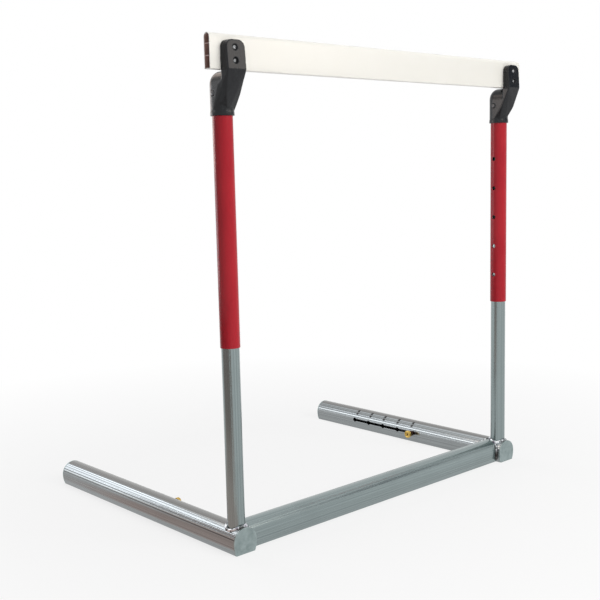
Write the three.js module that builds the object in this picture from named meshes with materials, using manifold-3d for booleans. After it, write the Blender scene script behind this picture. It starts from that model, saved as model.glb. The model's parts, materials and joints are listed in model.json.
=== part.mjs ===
// Track hurdle. A hollow gate board sits on two moulded brackets, whose sleeves slide on the uprights
// of a low base and lock there with snap buttons. A counterweight slides inside each leg of the base.
// Millimetres, +Z up, the front of the board faces -Y and the legs reach back along +Y. The origin is on
// the ground, in the middle of the hurdle's width and depth.

import * as THREE from "three";
import { ConvexGeometry } from "three/addons/geometries/ConvexGeometry.js";
import { mergeVertices } from "three/addons/utils/BufferGeometryUtils.js";
import Module from "manifold-3d";

const wasm = await Module();
wasm.setup();

// General
const gateHeight = 1067; // top edge of the board above the ground, on the highest setting
const lowestGateHeight = 762; // the same edge on the lowest setting
const seam = 0.3; // gap that stays between two pieces that are joined
const fit = 0.3; // clearance round a pin, a bolt or a button
const overrun = 2; // how far a cut runs past the face that it starts from
const roundSteps = 36; // sides of the large round tubes
const smallSteps = 16; // sides of pins, bolts and holes
const hexagonSides = 6;

// Base section, shared by the legs and the crossbar: flat foot, bowed flanks, half-round top
const sectionRadius = 31;
const sectionCentreHeight = 25.5;
const sectionFootWidth = 50.4;
const sectionWall = 3;
const crownSteps = 20;
const flankSteps = 4;

// Legs, their end plates and the crossbar
const legLength = 715; // with both end plates
const legToe = 30; // how far a leg reaches in front of the uprights
const endPlateThickness = 3;
const crossbarSetback = 12; // crossbar's middle plane behind the uprights
const weldSize = 3.6;
const weldSides = 8;

// Slot on the inner side of each leg, with round detents
const slotHeight = 27;
const slotWidth = 7.2;
const firstDetent = 282; // behind the uprights
const detentPitch = 58.7;
const detentCount = 5;
const detentDiameter = 13;

// Uprights and sleeves
const uprightDiameter = 38;
const uprightWall = 2;
const uprightTopClearance = 4; // below the bracket's rivet on the lowest setting
const sleeveClearance = 0.45;
const sleeveWall = 1.55;
const sleeveTail = 73.3; // sleeve below its lowest hole
const parkedClearance = 76.4; // between the legs and the sleeve on the lowest setting
const holeCount = 5; // one for each setting
const holeDiameter = 10;

// Snap button and its leaf spring, inside the upright
const lockTravel = 4.5;
const buttonInset = 0.1; // dome's top below the upright's surface when pressed
const buttonDomeHeight = 2.4;
const buttonFlangeDiameter = 13;
const buttonFlangeThickness = 1.5;
const leafThickness = 0.8;
const leafWidth = 10;
const leafBendDrop = 46; // bend's centre below the button
const leafBendRadius = 4;
const leafTopRise = 6; // both arms above the button
const leafBendSteps = 8;

// Board: flat sides, half-round top, two inner ribs, open ends
const boardLength = 1020;
const boardOverhang = 49; // from an upright's axis to the board's end
const boardHeight = 70;
const boardThickness = 18;
const boardWall = 1.8;
const boardRib = 1.4;
const boardOffset = 20; // board's middle plane in front of the uprights
const boardCornerRadius = 1.5;
const ribHeightShares = [0.367, 0.698]; // middle of each rib, from the board's foot
const boardTopSteps = 12;
const cornerSteps = 6;

// Brackets: paddle in front of the board, web below it, domed socket round the sleeve
const paddleWidth = 46.5;
const paddleFrontShift = 2.1; // front face, towards the middle of the hurdle
const paddleBackShift = 0.9; // back face, away from it
const paddleThickness = 16.7; // at its top
const paddleTopDrop = 13; // paddle's top below the board's top
const paddleCornerRadius = 15;
const foldThickness = 20.7; // at the board's foot, where the front face turns back
// The two front edges of the web: how far below the board's foot, how far to either side of the upright
// and how far in front of it
const webEdges = [
  { drop: 47, outer: 15.7, outerReach: 34.9, inner: 24.2, innerReach: 29 },
  { drop: 66, outer: 8.2, outerReach: 26.9, inner: 20.7, innerReach: 21.4 },
  { drop: 80, outer: 2, outerReach: 21, inner: 17.5, innerReach: 15.8 },
];
const socketWall = 2.4;
const socketLength = 88; // below the board's foot
const collarRise = 0.8;
const collarHeight = 7;
const collarTaper = 3;
const domeHeight = 27;
const domeSteps = 8;

// Bolts that hold the board, and the rivet that holds the sleeve
const boltDiameter = 5;
const boltPitch = 25.4;
const lowerBoltRise = 16.2; // above the board's foot
const boltHeadDiameter = 9.5;
const boltHeadHeight = 2.8;
const boltHeadEdge = 1.2;
const boltSocketWidth = 3; // across flats
const boltSocketDepth = 1.6;
const boltRecessDiameter = 12.5;
const boltRecessDepth = 2.2;
const boltTail = 2; // past the nut
const nutWidth = 8; // across flats
const nutHeight = 5;
const nutFlangeDiameter = 11.5;
const nutFlangeHeight = 1.4;
const rivetDiameter = 6;
const rivetDrop = 43.5; // rivet below the board's foot
const rivetHeadDiameter = 11;
const rivetHeadHeight = 2.4;
const rivetRecessDiameter = 13;
const rivetRecessDepth = 1.2;
const rivetDomeSteps = 4;

// Counterweight and its plunger, inside the leg
const weightLength = 100;
const weightClearance = 0.6;
const plungerBoreDiameter = 12.6;
const plungerBoreDepth = 26;
const plungerStop = 2; // left in the bore's end when the plunger is seated
const plungerFlangeThickness = 2;
const bushLength = 4;
const bushRecess = 1;
const noseLength = 3; // reaches through the leg's wall when seated
const noseClearance = 0.4; // between nose and leg at rest
const springWire = 1;
const springTurns = 6;
const springTurnSteps = 8;
const springSides = 5;
const plungerCollarDiameter = 16;
const plungerCollarLength = 10.5;
const knobDiameter = 21;
const knobReach = 22; // knob's face from the side of the leg
const knobEdge = 1.5;
const knobShellThickness = 3;
const knobEdgeSteps = 3;

// Places that follow from the sizes
const sectionHeight = sectionCentreHeight + sectionRadius;
const legFront = -legToe;
const legRear = legLength - legToe;
const uprightRadius = uprightDiameter / 2;
const uprightBore = uprightRadius - uprightWall;
const sleeveBore = uprightRadius + sleeveClearance;
const sleeveRadius = sleeveBore + sleeveWall;
const uprightSpacing = boardLength - 2 * boardOverhang;
const gateTravel = gateHeight - lowestGateHeight;
const holePitch = gateTravel / (holeCount - 1);
const weightTravel = detentPitch * (detentCount - 1);
const buttonHeight = sectionHeight + parkedClearance + gateTravel + sleeveTail;
const boardFoot = gateHeight - boardHeight;
const boardFront = -boardOffset - boardThickness / 2;
const boardBack = -boardOffset + boardThickness / 2;
const underBoard = boardFoot - seam;
const domeBase = underBoard - domeHeight;
const sleeveTop = domeBase - seam;
const sleeveFoot = buttonHeight - sleeveTail;
const socketBore = sleeveRadius + seam;
const socketRadius = socketBore + socketWall;
const socketFoot = boardFoot - socketLength;
const paddleBack = boardFront - seam;
const paddleFront = paddleBack - paddleThickness;
const foldFront = paddleBack - foldThickness;
const rivetHeight = boardFoot - rivetDrop;
const uprightTop = rivetHeight - rivetDiameter / 2 - gateTravel - uprightTopClearance;
const boltHeights = [boardFoot + lowerBoltRise, boardFoot + lowerBoltRise + boltPitch];
const boltSeat = paddleFront + boltRecessDepth;
const rivetSeat = socketRadius - rivetRecessDepth;
const weightInset = sectionWall + weightClearance;
const weightFace = sectionRadius - weightInset;
const plungerBoreEnd = weightFace - plungerBoreDepth;
const shaftRadius = slotWidth / 2 - fit;
const plungerFlangeBack = plungerBoreEnd + plungerStop + noseLength;
const plungerFlangeFace = plungerFlangeBack + plungerFlangeThickness;
const bushFace = weightFace - bushRecess;
const bushBack = bushFace - bushLength;
const noseBack = sectionRadius + noseClearance;
const noseFront = noseBack + noseLength;
const collarBack = noseFront + seam;
const collarFront = collarBack + plungerCollarLength;
const knobBack = collarFront + seam;
const knobFront = sectionRadius + knobReach;
const shaftEnd = knobFront - knobShellThickness - seam;

const materials = {
  aluminium: new THREE.MeshStandardMaterial({ color: 0x97a3a4, roughness: 0.35, metalness: 0.9 }),
  weld: new THREE.MeshStandardMaterial({ color: 0x83898a, roughness: 0.5, metalness: 0.9 }),
  redCoat: new THREE.MeshStandardMaterial({ color: 0xb3202e, roughness: 0.35, metalness: 0.1 }),
  whiteBoard: new THREE.MeshStandardMaterial({ color: 0xf4f2ea, roughness: 0.4, metalness: 0 }),
  blackMoulding: new THREE.MeshStandardMaterial({ color: 0x2b2d30, roughness: 0.45, metalness: 0 }),
  steel: new THREE.MeshStandardMaterial({ color: 0xb4b6b8, roughness: 0.3, metalness: 1 }),
  weightSteel: new THREE.MeshStandardMaterial({ color: 0x55585a, roughness: 0.6, metalness: 0.9 }),
  brass: new THREE.MeshStandardMaterial({ color: 0xc8a050, roughness: 0.3, metalness: 1 }),
  darkBrass: new THREE.MeshStandardMaterial({ color: 0x5a4630, roughness: 0.5, metalness: 0.8 }),
};

// How a section's own axes lie in the part: across, up, along
const alongX = new THREE.Matrix4().makeBasis(
  new THREE.Vector3(0, 1, 0),
  new THREE.Vector3(0, 0, 1),
  new THREE.Vector3(1, 0, 0),
);
const alongY = new THREE.Matrix4().makeBasis(
  new THREE.Vector3(-1, 0, 0),
  new THREE.Vector3(0, 0, 1),
  new THREE.Vector3(0, 1, 0),
);
const alongZ = new THREE.Matrix4();

/** A closed solid from a geometry, turned by a matrix and then moved. */
function solidOf(geometry, turn, x = 0, y = 0, z = 0) {
  const bare = geometry.clone().applyMatrix4(turn).translate(x, y, z);
  bare.deleteAttribute("normal");
  bare.deleteAttribute("uv");
  const merged = mergeVertices(bare);
  return new wasm.Manifold(
    new wasm.Mesh({
      numProp: 3,
      vertProperties: new Float32Array(merged.attributes.position.array),
      triVerts: new Uint32Array(merged.index.array),
    }),
  );
}

/** The geometry of a solid. */
function geometryOf(solid) {
  const mesh = solid.getMesh();
  const geometry = new THREE.BufferGeometry();
  geometry.setAttribute("position", new THREE.BufferAttribute(mesh.vertProperties, 3));
  geometry.setIndex(new THREE.BufferAttribute(mesh.triVerts, 1));
  geometry.computeVertexNormals();
  return geometry;
}

/** A bar or a tube of one section, from one place to another along the turn's third axis. */
function bar(outline, turn, from, to, bore = null) {
  const shape = new THREE.Shape(outline);
  if (bore) shape.holes.push(new THREE.Path(bore));
  const geometry = new THREE.ExtrudeGeometry(shape, { depth: to - from, bevelEnabled: false });
  geometry.translate(0, 0, from);
  return solidOf(geometry, turn);
}

/** A turned solid. The profile holds [radius, place along the axis] and starts and ends on the axis. */
function turned(profile, steps, turn, x = 0, y = 0, z = 0) {
  const points = profile.map(([radius, place]) => new THREE.Vector2(radius, place));
  const geometry = new THREE.LatheGeometry(points, steps).rotateX(Math.PI / 2);
  return solidOf(geometry, turn, x, y, z);
}

/** A plain round bar. */
function roundBar(radius, from, to, steps, turn, x = 0, y = 0, z = 0) {
  return turned([[0, from], [radius, from], [radius, to], [0, to]], steps, turn, x, y, z);
}

/** A round tube. */
function roundTube(radius, bore, from, to, steps, turn, x = 0, y = 0, z = 0) {
  const profile = [[bore, from], [radius, from], [radius, to], [bore, to], [bore, from]];
  return turned(profile, steps, turn, x, y, z);
}

/** A block between two corners. */
function block(low, high) {
  const size = new THREE.Vector3().subVectors(high, low);
  const middle = new THREE.Vector3().addVectors(low, high).divideScalar(2);
  const geometry = new THREE.BoxGeometry(size.x, size.y, size.z);
  return solidOf(geometry, alongZ, middle.x, middle.y, middle.z);
}

/** Points on an arc, both ends included. */
function arc(centreX, centreY, radiusX, radiusY, from, to, steps) {
  return Array.from({ length: steps + 1 }, (_, i) => {
    const angle = from + ((to - from) * i) / steps;
    return new THREE.Vector2(centreX + radiusX * Math.cos(angle), centreY + radiusY * Math.sin(angle));
  });
}

/** A regular hexagon of one width across its flats. */
function hexagon(width) {
  const radius = width / 2 / Math.cos(Math.PI / hexagonSides);
  return arc(0, 0, radius, radius, 0, 2 * Math.PI, hexagonSides).slice(1);
}

/** The smallest convex solid round some points. */
function hull(points) {
  return solidOf(new ConvexGeometry(points), alongZ);
}

/** Outline of the base section, drawn in by an inset on every side. */
function sectionOutline(inset) {
  const bow = sectionRadius - sectionFootWidth / 2;
  const flankRadius = (sectionCentreHeight ** 2 + bow ** 2) / (2 * bow);
  const flankCentre = flankRadius - sectionRadius;
  const radius = flankRadius - inset;
  const sweep = Math.asin((sectionCentreHeight - inset) / radius);
  const crown = sectionRadius - inset;
  return [
    ...arc(-flankCentre, sectionCentreHeight, radius, radius, -sweep, 0, flankSteps).slice(0, -1),
    ...arc(0, sectionCentreHeight, crown, crown, 0, Math.PI, crownSteps),
    ...arc(flankCentre, sectionCentreHeight, radius, radius, Math.PI, Math.PI + sweep, flankSteps).slice(1),
  ];
}

/** A leg's filled outline, grown by a margin, in the frame of its upright. */
function legBlank(margin) {
  return bar(sectionOutline(-margin), alongY, legFront, legRear);
}

/** The crossbar's filled outline beside a leg, grown by a margin, in the frame of the upright. */
function crossbarBlank(margin) {
  const outline = sectionOutline(-margin).map((p) => new THREE.Vector2(p.x + crossbarSetback, p.y));
  return bar(outline, alongX, 0, uprightSpacing / 2);
}

/** Places of the detents along the leg. */
function detentPlaces() {
  return Array.from({ length: detentCount }, (_, i) => firstDetent + i * detentPitch);
}

/** Heights of the sleeve's holes. */
function holeHeights() {
  return Array.from({ length: holeCount }, (_, i) => buttonHeight + i * holePitch);
}

function legTube() {
  const from = legFront + endPlateThickness + seam;
  const to = legRear - endPlateThickness - seam;
  const wallInside = sectionRadius - sectionWall - overrun;
  const wallOutside = sectionRadius + overrun;
  let leg = bar(sectionOutline(0), alongY, from, to, sectionOutline(sectionWall));
  const places = detentPlaces();
  const slotLow = new THREE.Vector3(wallInside, places[0], slotHeight - slotWidth / 2);
  const slotHigh = new THREE.Vector3(wallOutside, places[detentCount - 1], slotHeight + slotWidth / 2);
  leg = leg.subtract(block(slotLow, slotHigh));
  for (const place of places) {
    const detent = detentDiameter / 2;
    leg = leg.subtract(roundBar(detent, wallInside, wallOutside, smallSteps, alongX, 0, place, slotHeight));
  }
  return leg;
}

function endPlate(from) {
  return bar(sectionOutline(0), alongY, from, from + endPlateThickness);
}

function crossbar() {
  const outline = (inset) =>
    sectionOutline(inset).map((p) => new THREE.Vector2(p.x + crossbarSetback, p.y));
  const half = uprightSpacing / 2;
  let tube = bar(outline(0), alongX, -half, half, outline(sectionWall));
  for (const side of [-1, 1]) tube = tube.subtract(legBlank(seam).translate([side * half, 0, 0]));
  return tube;
}

/** The inner upright, shaped at its foot to the tops of the leg and the crossbar. */
function uprightTube() {
  const tube = roundTube(uprightRadius, uprightBore, sectionCentreHeight, uprightTop, roundSteps, alongZ);
  const hole = roundBar(holeDiameter / 2, 0, sleeveRadius, smallSteps, alongX, 0, 0, buttonHeight);
  return tube.subtract(legBlank(seam)).subtract(crossbarBlank(seam)).subtract(hole);
}

/** The bead that runs round an upright's foot, over the tops of the leg and the crossbar. */
function uprightWeld() {
  const inside = uprightRadius + seam;
  const band = roundTube(inside + weldSize, inside, sectionCentreHeight, sectionHeight + overrun + weldSize,
    roundSteps, alongZ);
  const skin = legBlank(seam + weldSize).add(crossbarBlank(seam + weldSize));
  return band.intersect(skin).subtract(legBlank(seam)).subtract(crossbarBlank(seam));
}

/** The bead in one corner between crossbar and leg, on the side that the sign gives. */
function crossbarWeld(side) {
  const half = sectionOutline(0).filter((p) => p.x >= 0);
  const points = half.map((p) => new THREE.Vector3(p.x, crossbarSetback + side * p.x, p.y));
  const path = new THREE.CatmullRomCurve3(points);
  const section = new THREE.Shape(arc(0, 0, weldSize, weldSize, 0, 2 * Math.PI, weldSides).slice(1));
  const options = { steps: half.length, bevelEnabled: false, extrudePath: path };
  const bead = solidOf(new THREE.ExtrudeGeometry(section, options), alongZ);
  const clearOfUpright = uprightRadius + seam + weldSize + seam;
  const footing = roundBar(clearOfUpright, 0, sectionHeight + sectionRadius, roundSteps, alongZ);
  const reach = sectionRadius + crossbarSetback + weldSize + overrun;
  const below = block(new THREE.Vector3(-reach, -reach, -reach), new THREE.Vector3(reach, reach, seam));
  return bead
    .subtract(legBlank(seam))
    .subtract(crossbarBlank(seam))
    .subtract(footing)
    .subtract(below);
}

/** Place of the pressed button's flange, so that its rim clears the upright's bore when locked. */
function buttonFlangeFace() {
  const rim = buttonFlangeDiameter / 2;
  return Math.sqrt(uprightBore ** 2 - rim ** 2) - lockTravel - seam;
}

/** The snap button, pressed in until its dome lies flush with the upright. */
function snapButton() {
  const flangeFace = buttonFlangeFace();
  const flangeBack = flangeFace - buttonFlangeThickness;
  const radius = holeDiameter / 2 - fit;
  const tip = uprightRadius - buttonInset;
  const shoulder = tip - buttonDomeHeight;
  const dome = arc(0, shoulder, radius, buttonDomeHeight, 0, Math.PI / 2, flankSteps);
  const profile = [
    [0, flangeBack],
    [buttonFlangeDiameter / 2, flangeBack],
    [buttonFlangeDiameter / 2, flangeFace],
    [radius, flangeFace],
    ...dome.slice(0, -1).map((p) => [p.x, p.y]),
    [0, tip],
  ];
  return turned(profile, smallSteps, alongX, 0, 0, buttonHeight);
}

/** A strip of even thickness that follows a line of points. */
function strip(line, thickness) {
  const edge = (side) =>
    line.map((point, i) => {
      const before = line[Math.max(i - 1, 0)];
      const after = line[Math.min(i + 1, line.length - 1)];
      const along = new THREE.Vector2().subVectors(after, before).normalize();
      const reach = (side * thickness) / 2;
      return new THREE.Vector2(point.x - along.y * reach, point.y + along.x * reach);
    });
  return [...edge(1), ...edge(-1).reverse()];
}

/** The leaf spring: one arm lies behind the button, the other on the far side of the bore. */
function snapSpring() {
  const frontArm = buttonFlangeFace() - buttonFlangeThickness - seam - leafThickness / 2;
  const backArm = -Math.sqrt(uprightBore ** 2 - (leafWidth / 2) ** 2) + seam + leafThickness / 2;
  const middle = (frontArm + backArm) / 2;
  const bend = buttonHeight - leafBendDrop;
  const straight = buttonHeight - buttonFlangeDiameter / 2;
  const line = [
    new THREE.Vector2(frontArm, buttonHeight + leafTopRise),
    new THREE.Vector2(frontArm, straight),
    ...arc(middle, bend, leafBendRadius, leafBendRadius, 0, -Math.PI, leafBendSteps),
    new THREE.Vector2(backArm, straight),
    new THREE.Vector2(backArm, buttonHeight + leafTopRise),
  ];
  const across = line.map((p) => new THREE.Vector2(-p.x, p.y));
  return bar(strip(across, leafThickness), alongY, -leafWidth / 2, leafWidth / 2);
}

function sleeve() {
  let tube = roundTube(sleeveRadius, sleeveBore, sleeveFoot, sleeveTop, roundSteps, alongZ);
  for (const height of holeHeights()) {
    const reach = sleeveRadius + overrun;
    tube = tube.subtract(roundBar(holeDiameter / 2, 0, reach, smallSteps, alongX, 0, 0, height));
  }
  return tube.subtract(rivetHole());
}

/** The hole for the rivet, right through bracket and sleeve. */
function rivetHole() {
  return roundBar(rivetDiameter / 2 + fit, -paddleWidth, paddleWidth, smallSteps, alongX, 0, 0, rivetHeight);
}

/** Outline of the board across its length, drawn in by an inset. */
function boardOutline(inset) {
  const half = boardThickness / 2 - inset;
  const corner = Math.max(boardCornerRadius - inset, 0);
  const foot = boardFoot + inset;
  const topCentre = gateHeight - boardThickness / 2;
  const corners = corner
    ? [
        ...arc(-boardOffset - half + corner, foot + corner, corner, corner, Math.PI, Math.PI * 1.5, flankSteps),
        ...arc(-boardOffset + half - corner, foot + corner, corner, corner, -Math.PI / 2, 0, flankSteps),
      ]
    : [new THREE.Vector2(-boardOffset - half, foot), new THREE.Vector2(-boardOffset + half, foot)];
  return [...corners, ...arc(-boardOffset, topCentre, half, half, 0, Math.PI, boardTopSteps)];
}

/** The gate board, open at both ends, with its ribs and bolt holes. */
function gateBoard() {
  const half = boardLength / 2;
  const reach = half + overrun;
  let hollow = bar(boardOutline(boardWall), alongX, -reach, reach);
  for (const share of ribHeightShares) {
    const middle = boardFoot + share * boardHeight;
    const low = new THREE.Vector3(-reach - overrun, boardFront, middle - boardRib / 2);
    const high = new THREE.Vector3(reach + overrun, boardBack, middle + boardRib / 2);
    hollow = hollow.subtract(block(low, high));
  }
  let board = bar(boardOutline(0), alongX, -half, half).subtract(hollow);
  for (const side of [-1, 1]) {
    for (const height of boltHeights) {
      const x = (side * uprightSpacing) / 2;
      board = board.subtract(boltHole(boardBack + overrun, height).translate([x, 0, 0]));
    }
  }
  return board;
}

/** The hole for one board bolt, from the front of the bracket to a place behind it. */
function boltHole(to, height) {
  return roundBar(boltDiameter / 2 + fit, foldFront - overrun, to, smallSteps, alongY, 0, 0, height);
}

/** The paddle in front of the board, with round upper corners and a front face that leans back. */
function paddle() {
  const top = gateHeight - paddleTopDrop;
  const lean = (paddleFront - foldFront) / (top - underBoard);
  const half = paddleWidth / 2;
  const corner = half - paddleCornerRadius;
  const turn = (x, from) => {
    const radius = paddleCornerRadius;
    return arc(x, top - radius, radius, radius, from, from + Math.PI / 2, cornerSteps);
  };
  const outline = [
    new THREE.Vector2(half, underBoard),
    ...turn(corner, 0),
    ...turn(-corner, Math.PI / 2),
    new THREE.Vector2(-half, underBoard),
  ];
  const front = outline.map(
    (p) => new THREE.Vector3(p.x + paddleFrontShift, foldFront + lean * (p.y - underBoard), p.y),
  );
  const back = outline.map((p) => new THREE.Vector3(p.x - paddleBackShift, paddleBack, p.y));
  return hull([...front, ...back]);
}

/** The web below the board, which narrows and slopes back from the paddle's foot to the socket. */
function web() {
  const half = paddleWidth / 2;
  const foot = boardFoot - webEdges[webEdges.length - 1].drop;
  const points = [
    new THREE.Vector3(paddleFrontShift - half, foldFront, underBoard),
    new THREE.Vector3(paddleFrontShift + half, foldFront, underBoard),
    new THREE.Vector3(-paddleBackShift - half, paddleBack, underBoard),
    new THREE.Vector3(half - paddleBackShift, paddleBack, underBoard),
  ];
  for (const height of [underBoard, foot]) {
    points.push(new THREE.Vector3(-socketRadius, 0, height), new THREE.Vector3(socketRadius, 0, height));
  }
  for (const { drop, outer, outerReach, inner, innerReach } of webEdges) {
    points.push(new THREE.Vector3(-outer, -outerReach, boardFoot - drop));
    points.push(new THREE.Vector3(inner, -innerReach, boardFoot - drop));
  }
  return hull(points).subtract(vaultCorners());
}

/** The corners that the rounded top of the web leaves free under the board. */
function vaultCorners() {
  const low = new THREE.Vector3(-paddleWidth, paddleBack, domeBase);
  const high = new THREE.Vector3(paddleWidth, overrun, underBoard + overrun);
  const vault = arc(0, domeBase, socketRadius, domeHeight, 0, Math.PI, domeSteps * 2);
  return block(low, high).subtract(bar(vault, alongY, paddleBack - overrun, overrun * 2));
}

/** The domed socket with its collar, before it is bored. */
function socketBlank() {
  const collar = socketRadius + collarRise;
  const dome = arc(0, domeBase, socketRadius, domeHeight, 0, Math.PI / 2, domeSteps);
  const profile = [
    [0, socketFoot],
    [collar, socketFoot],
    [collar, socketFoot + collarHeight],
    [socketRadius, socketFoot + collarHeight + collarTaper],
    ...dome.slice(0, -1).map((p) => [p.x, p.y]),
    [0, underBoard],
  ];
  return turned(profile, roundSteps, alongZ);
}

/** The moulded bracket: paddle, web and socket in one. */
function bracket() {
  const bore = roundBar(socketBore, socketFoot - overrun, domeBase, roundSteps, alongZ);
  let body = paddle().add(web()).add(socketBlank()).subtract(bore).subtract(rivetHole());
  const recess = rivetRecessDiameter / 2;
  const rivetRecess = roundBar(recess, rivetSeat, paddleWidth, smallSteps, alongX, 0, 0, rivetHeight);
  body = body.subtract(rivetRecess).subtract(rivetRecess.mirror([1, 0, 0]));
  for (const height of boltHeights) {
    const radius = boltRecessDiameter / 2;
    body = body
      .subtract(boltHole(paddleBack + overrun, height))
      .subtract(roundBar(radius, foldFront - overrun, boltSeat, smallSteps, alongY, 0, 0, height));
  }
  return body;
}

/** A board bolt with its domed head and hexagon socket. */
function boardBolt(height) {
  const seat = boltSeat - seam;
  const face = seat - boltHeadHeight;
  const radius = boltHeadDiameter / 2;
  const end = boardBack + seam + nutHeight + boltTail;
  const profile = [
    [0, face],
    [radius - boltHeadEdge, face],
    [radius, face + boltHeadEdge],
    [radius, seat],
    [boltDiameter / 2, seat],
    [boltDiameter / 2, end],
    [0, end],
  ];
  const socket = bar(hexagon(boltSocketWidth), alongY, face - overrun, face + boltSocketDepth);
  return turned(profile, smallSteps, alongY).subtract(socket).translate([0, 0, height]);
}

/** The flanged nut behind the board. */
function boardNut(height) {
  const from = boardBack + seam;
  const flange = roundBar(nutFlangeDiameter / 2, from, from + nutFlangeHeight, smallSteps, alongY);
  const nut = bar(hexagon(nutWidth), alongY, from, from + nutHeight).add(flange);
  const bore = roundBar(boltDiameter / 2 + fit, from - overrun, from + nutHeight + overrun, smallSteps, alongY);
  return nut.subtract(bore).translate([0, 0, height]);
}

/** The rivet through bracket and sleeve, with a domed head on both sides. */
function bracketRivet() {
  const seat = rivetSeat + seam;
  const head = arc(0, seat, rivetHeadDiameter / 2, rivetHeadHeight, 0, Math.PI / 2, rivetDomeSteps);
  const half = [[rivetDiameter / 2, seat], ...head.slice(0, -1).map((p) => [p.x, p.y])];
  const far = half.map(([radius, place]) => [radius, -place]).reverse();
  const tip = seat + rivetHeadHeight;
  return turned([[0, -tip], ...far, ...half, [0, tip]], smallSteps, alongX, 0, 0, rivetHeight);
}

/** The weight inside the leg, with the blind bore for the plunger. */
function counterweight() {
  const from = firstDetent - weightLength / 2;
  const weight = bar(sectionOutline(weightInset), alongY, from, from + weightLength);
  const radius = plungerBoreDiameter / 2;
  return weight.subtract(
    roundBar(radius, plungerBoreEnd, sectionRadius, smallSteps, alongX, 0, firstDetent, slotHeight),
  );
}

/** A piece on the plunger's axis, from its profile. */
function onPlungerAxis(profile) {
  return turned(profile, smallSteps, alongX, 0, firstDetent, slotHeight);
}

/** The ring that closes the counterweight's bore and guides the shaft. */
function plungerBush() {
  const radius = plungerBoreDiameter / 2 - fit;
  const bore = shaftRadius + fit;
  return onPlungerAxis([[bore, bushBack], [radius, bushBack], [radius, bushFace], [bore, bushFace],
    [bore, bushBack]]);
}

/** Shaft with the inner flange and the nose that drops into a detent. */
function plungerPin() {
  const flange = plungerBoreDiameter / 2 - fit - fit;
  const nose = detentDiameter / 2 - fit;
  return onPlungerAxis([
    [0, plungerFlangeBack],
    [flange, plungerFlangeBack],
    [flange, plungerFlangeFace],
    [shaftRadius, plungerFlangeFace],
    [shaftRadius, noseBack],
    [nose, noseBack],
    [nose, noseFront],
    [shaftRadius, noseFront],
    [shaftRadius, shaftEnd],
    [0, shaftEnd],
  ]);
}

function plungerCollar() {
  const bore = shaftRadius + fit;
  const radius = plungerCollarDiameter / 2;
  return onPlungerAxis([[bore, collarBack], [radius, collarBack], [radius, collarFront],
    [bore, collarFront], [bore, collarBack]]);
}

/** The round knob with a blind hole for the shaft. */
function plungerKnob() {
  const bore = shaftRadius + fit;
  const radius = knobDiameter / 2;
  const edge = (place, from) =>
    arc(radius - knobEdge, place, knobEdge, knobEdge, from, from + Math.PI / 2, knobEdgeSteps)
      .map((p) => [p.x, p.y]);
  return onPlungerAxis([
    [0, knobFront - knobShellThickness],
    [bore, knobFront - knobShellThickness],
    [bore, knobBack],
    ...edge(knobBack + knobEdge, -Math.PI / 2),
    ...edge(knobFront - knobEdge, 0),
    [0, knobFront],
  ]);
}

/** The coil spring between the plunger's flange and the bush, with its turns round the shaft. */
function plungerSpring() {
  const gap = (plungerBoreDiameter / 2 + shaftRadius) / 2;
  const from = plungerFlangeFace + seam + springWire / 2;
  const to = bushBack - seam - springWire / 2;
  const steps = springTurns * springTurnSteps;
  const points = Array.from({ length: steps + 1 }, (_, i) => {
    const angle = (i / springTurnSteps) * 2 * Math.PI;
    const place = from + ((to - from) * i) / steps;
    return new THREE.Vector3(place, gap * Math.cos(angle), gap * Math.sin(angle));
  });
  const wire = springWire / 2;
  const section = new THREE.Shape(arc(0, 0, wire, wire, 0, 2 * Math.PI, springSides).slice(1));
  const options = { steps, bevelEnabled: false, extrudePath: new THREE.CatmullRomCurve3(points) };
  return solidOf(new THREE.ExtrudeGeometry(section, options), alongZ, 0, firstDetent, slotHeight);
}

/** A named mesh in a group. */
function place(group, name, solid, material) {
  const mesh = new THREE.Mesh(geometryOf(solid), material);
  mesh.name = name;
  group.add(mesh);
}

/** The pieces that both sides have, with +X towards the middle of the hurdle. */
function buildSide(name) {
  const side = new THREE.Group();
  const add = (piece, solid, material) => place(side, `${name}_${piece}`, solid, material);
  add("leg_tube", legTube(), materials.aluminium);
  add("leg_front_plate", endPlate(legFront), materials.aluminium);
  add("leg_rear_plate", endPlate(legRear - endPlateThickness), materials.aluminium);
  add("upright_tube", uprightTube(), materials.aluminium);
  add("upright_weld", uprightWeld(), materials.weld);
  add("crossbar_front_weld", crossbarWeld(-1), materials.weld);
  add("crossbar_rear_weld", crossbarWeld(1), materials.weld);
  add("snap_button", snapButton(), materials.steel);
  add("snap_spring", snapSpring(), materials.steel);
  add("sleeve", sleeve(), materials.redCoat);
  add("bracket", bracket(), materials.blackMoulding);
  const [lower, upper] = boltHeights;
  add("board_bolt_lower", boardBolt(lower), materials.steel);
  add("board_bolt_upper", boardBolt(upper), materials.steel);
  add("board_nut_lower", boardNut(lower), materials.steel);
  add("board_nut_upper", boardNut(upper), materials.steel);
  add("bracket_rivet", bracketRivet(), materials.steel);
  add("counterweight", counterweight(), materials.weightSteel);
  add("plunger_bush", plungerBush(), materials.steel);
  add("plunger_pin", plungerPin(), materials.steel);
  add("plunger_collar", plungerCollar(), materials.darkBrass);
  add("plunger_knob", plungerKnob(), materials.brass);
  add("plunger_spring", plungerSpring(), materials.steel);
  return side;
}

const hurdle = new THREE.Group();
place(hurdle, "base_crossbar", crossbar(), materials.aluminium);
place(hurdle, "gate_board", gateBoard(), materials.whiteBoard);

const left = buildSide("left");
left.position.x = -uprightSpacing / 2;
const right = buildSide("right");
right.position.x = uprightSpacing / 2;
right.scale.x = -1;
hurdle.add(left, right);

// The uprights' plane lies in front of the middle of the depth, which runs from the brackets to the legs' ends.
hurdle.position.y = -(Math.min(foldFront, legFront) + legRear) / 2;

export default hurdle;
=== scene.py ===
"""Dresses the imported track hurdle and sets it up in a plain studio.

Metres, +Z up, the board faces -Y and the legs reach back along +Y. Left and right are as seen from
the front.
"""

from __future__ import annotations

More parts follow.
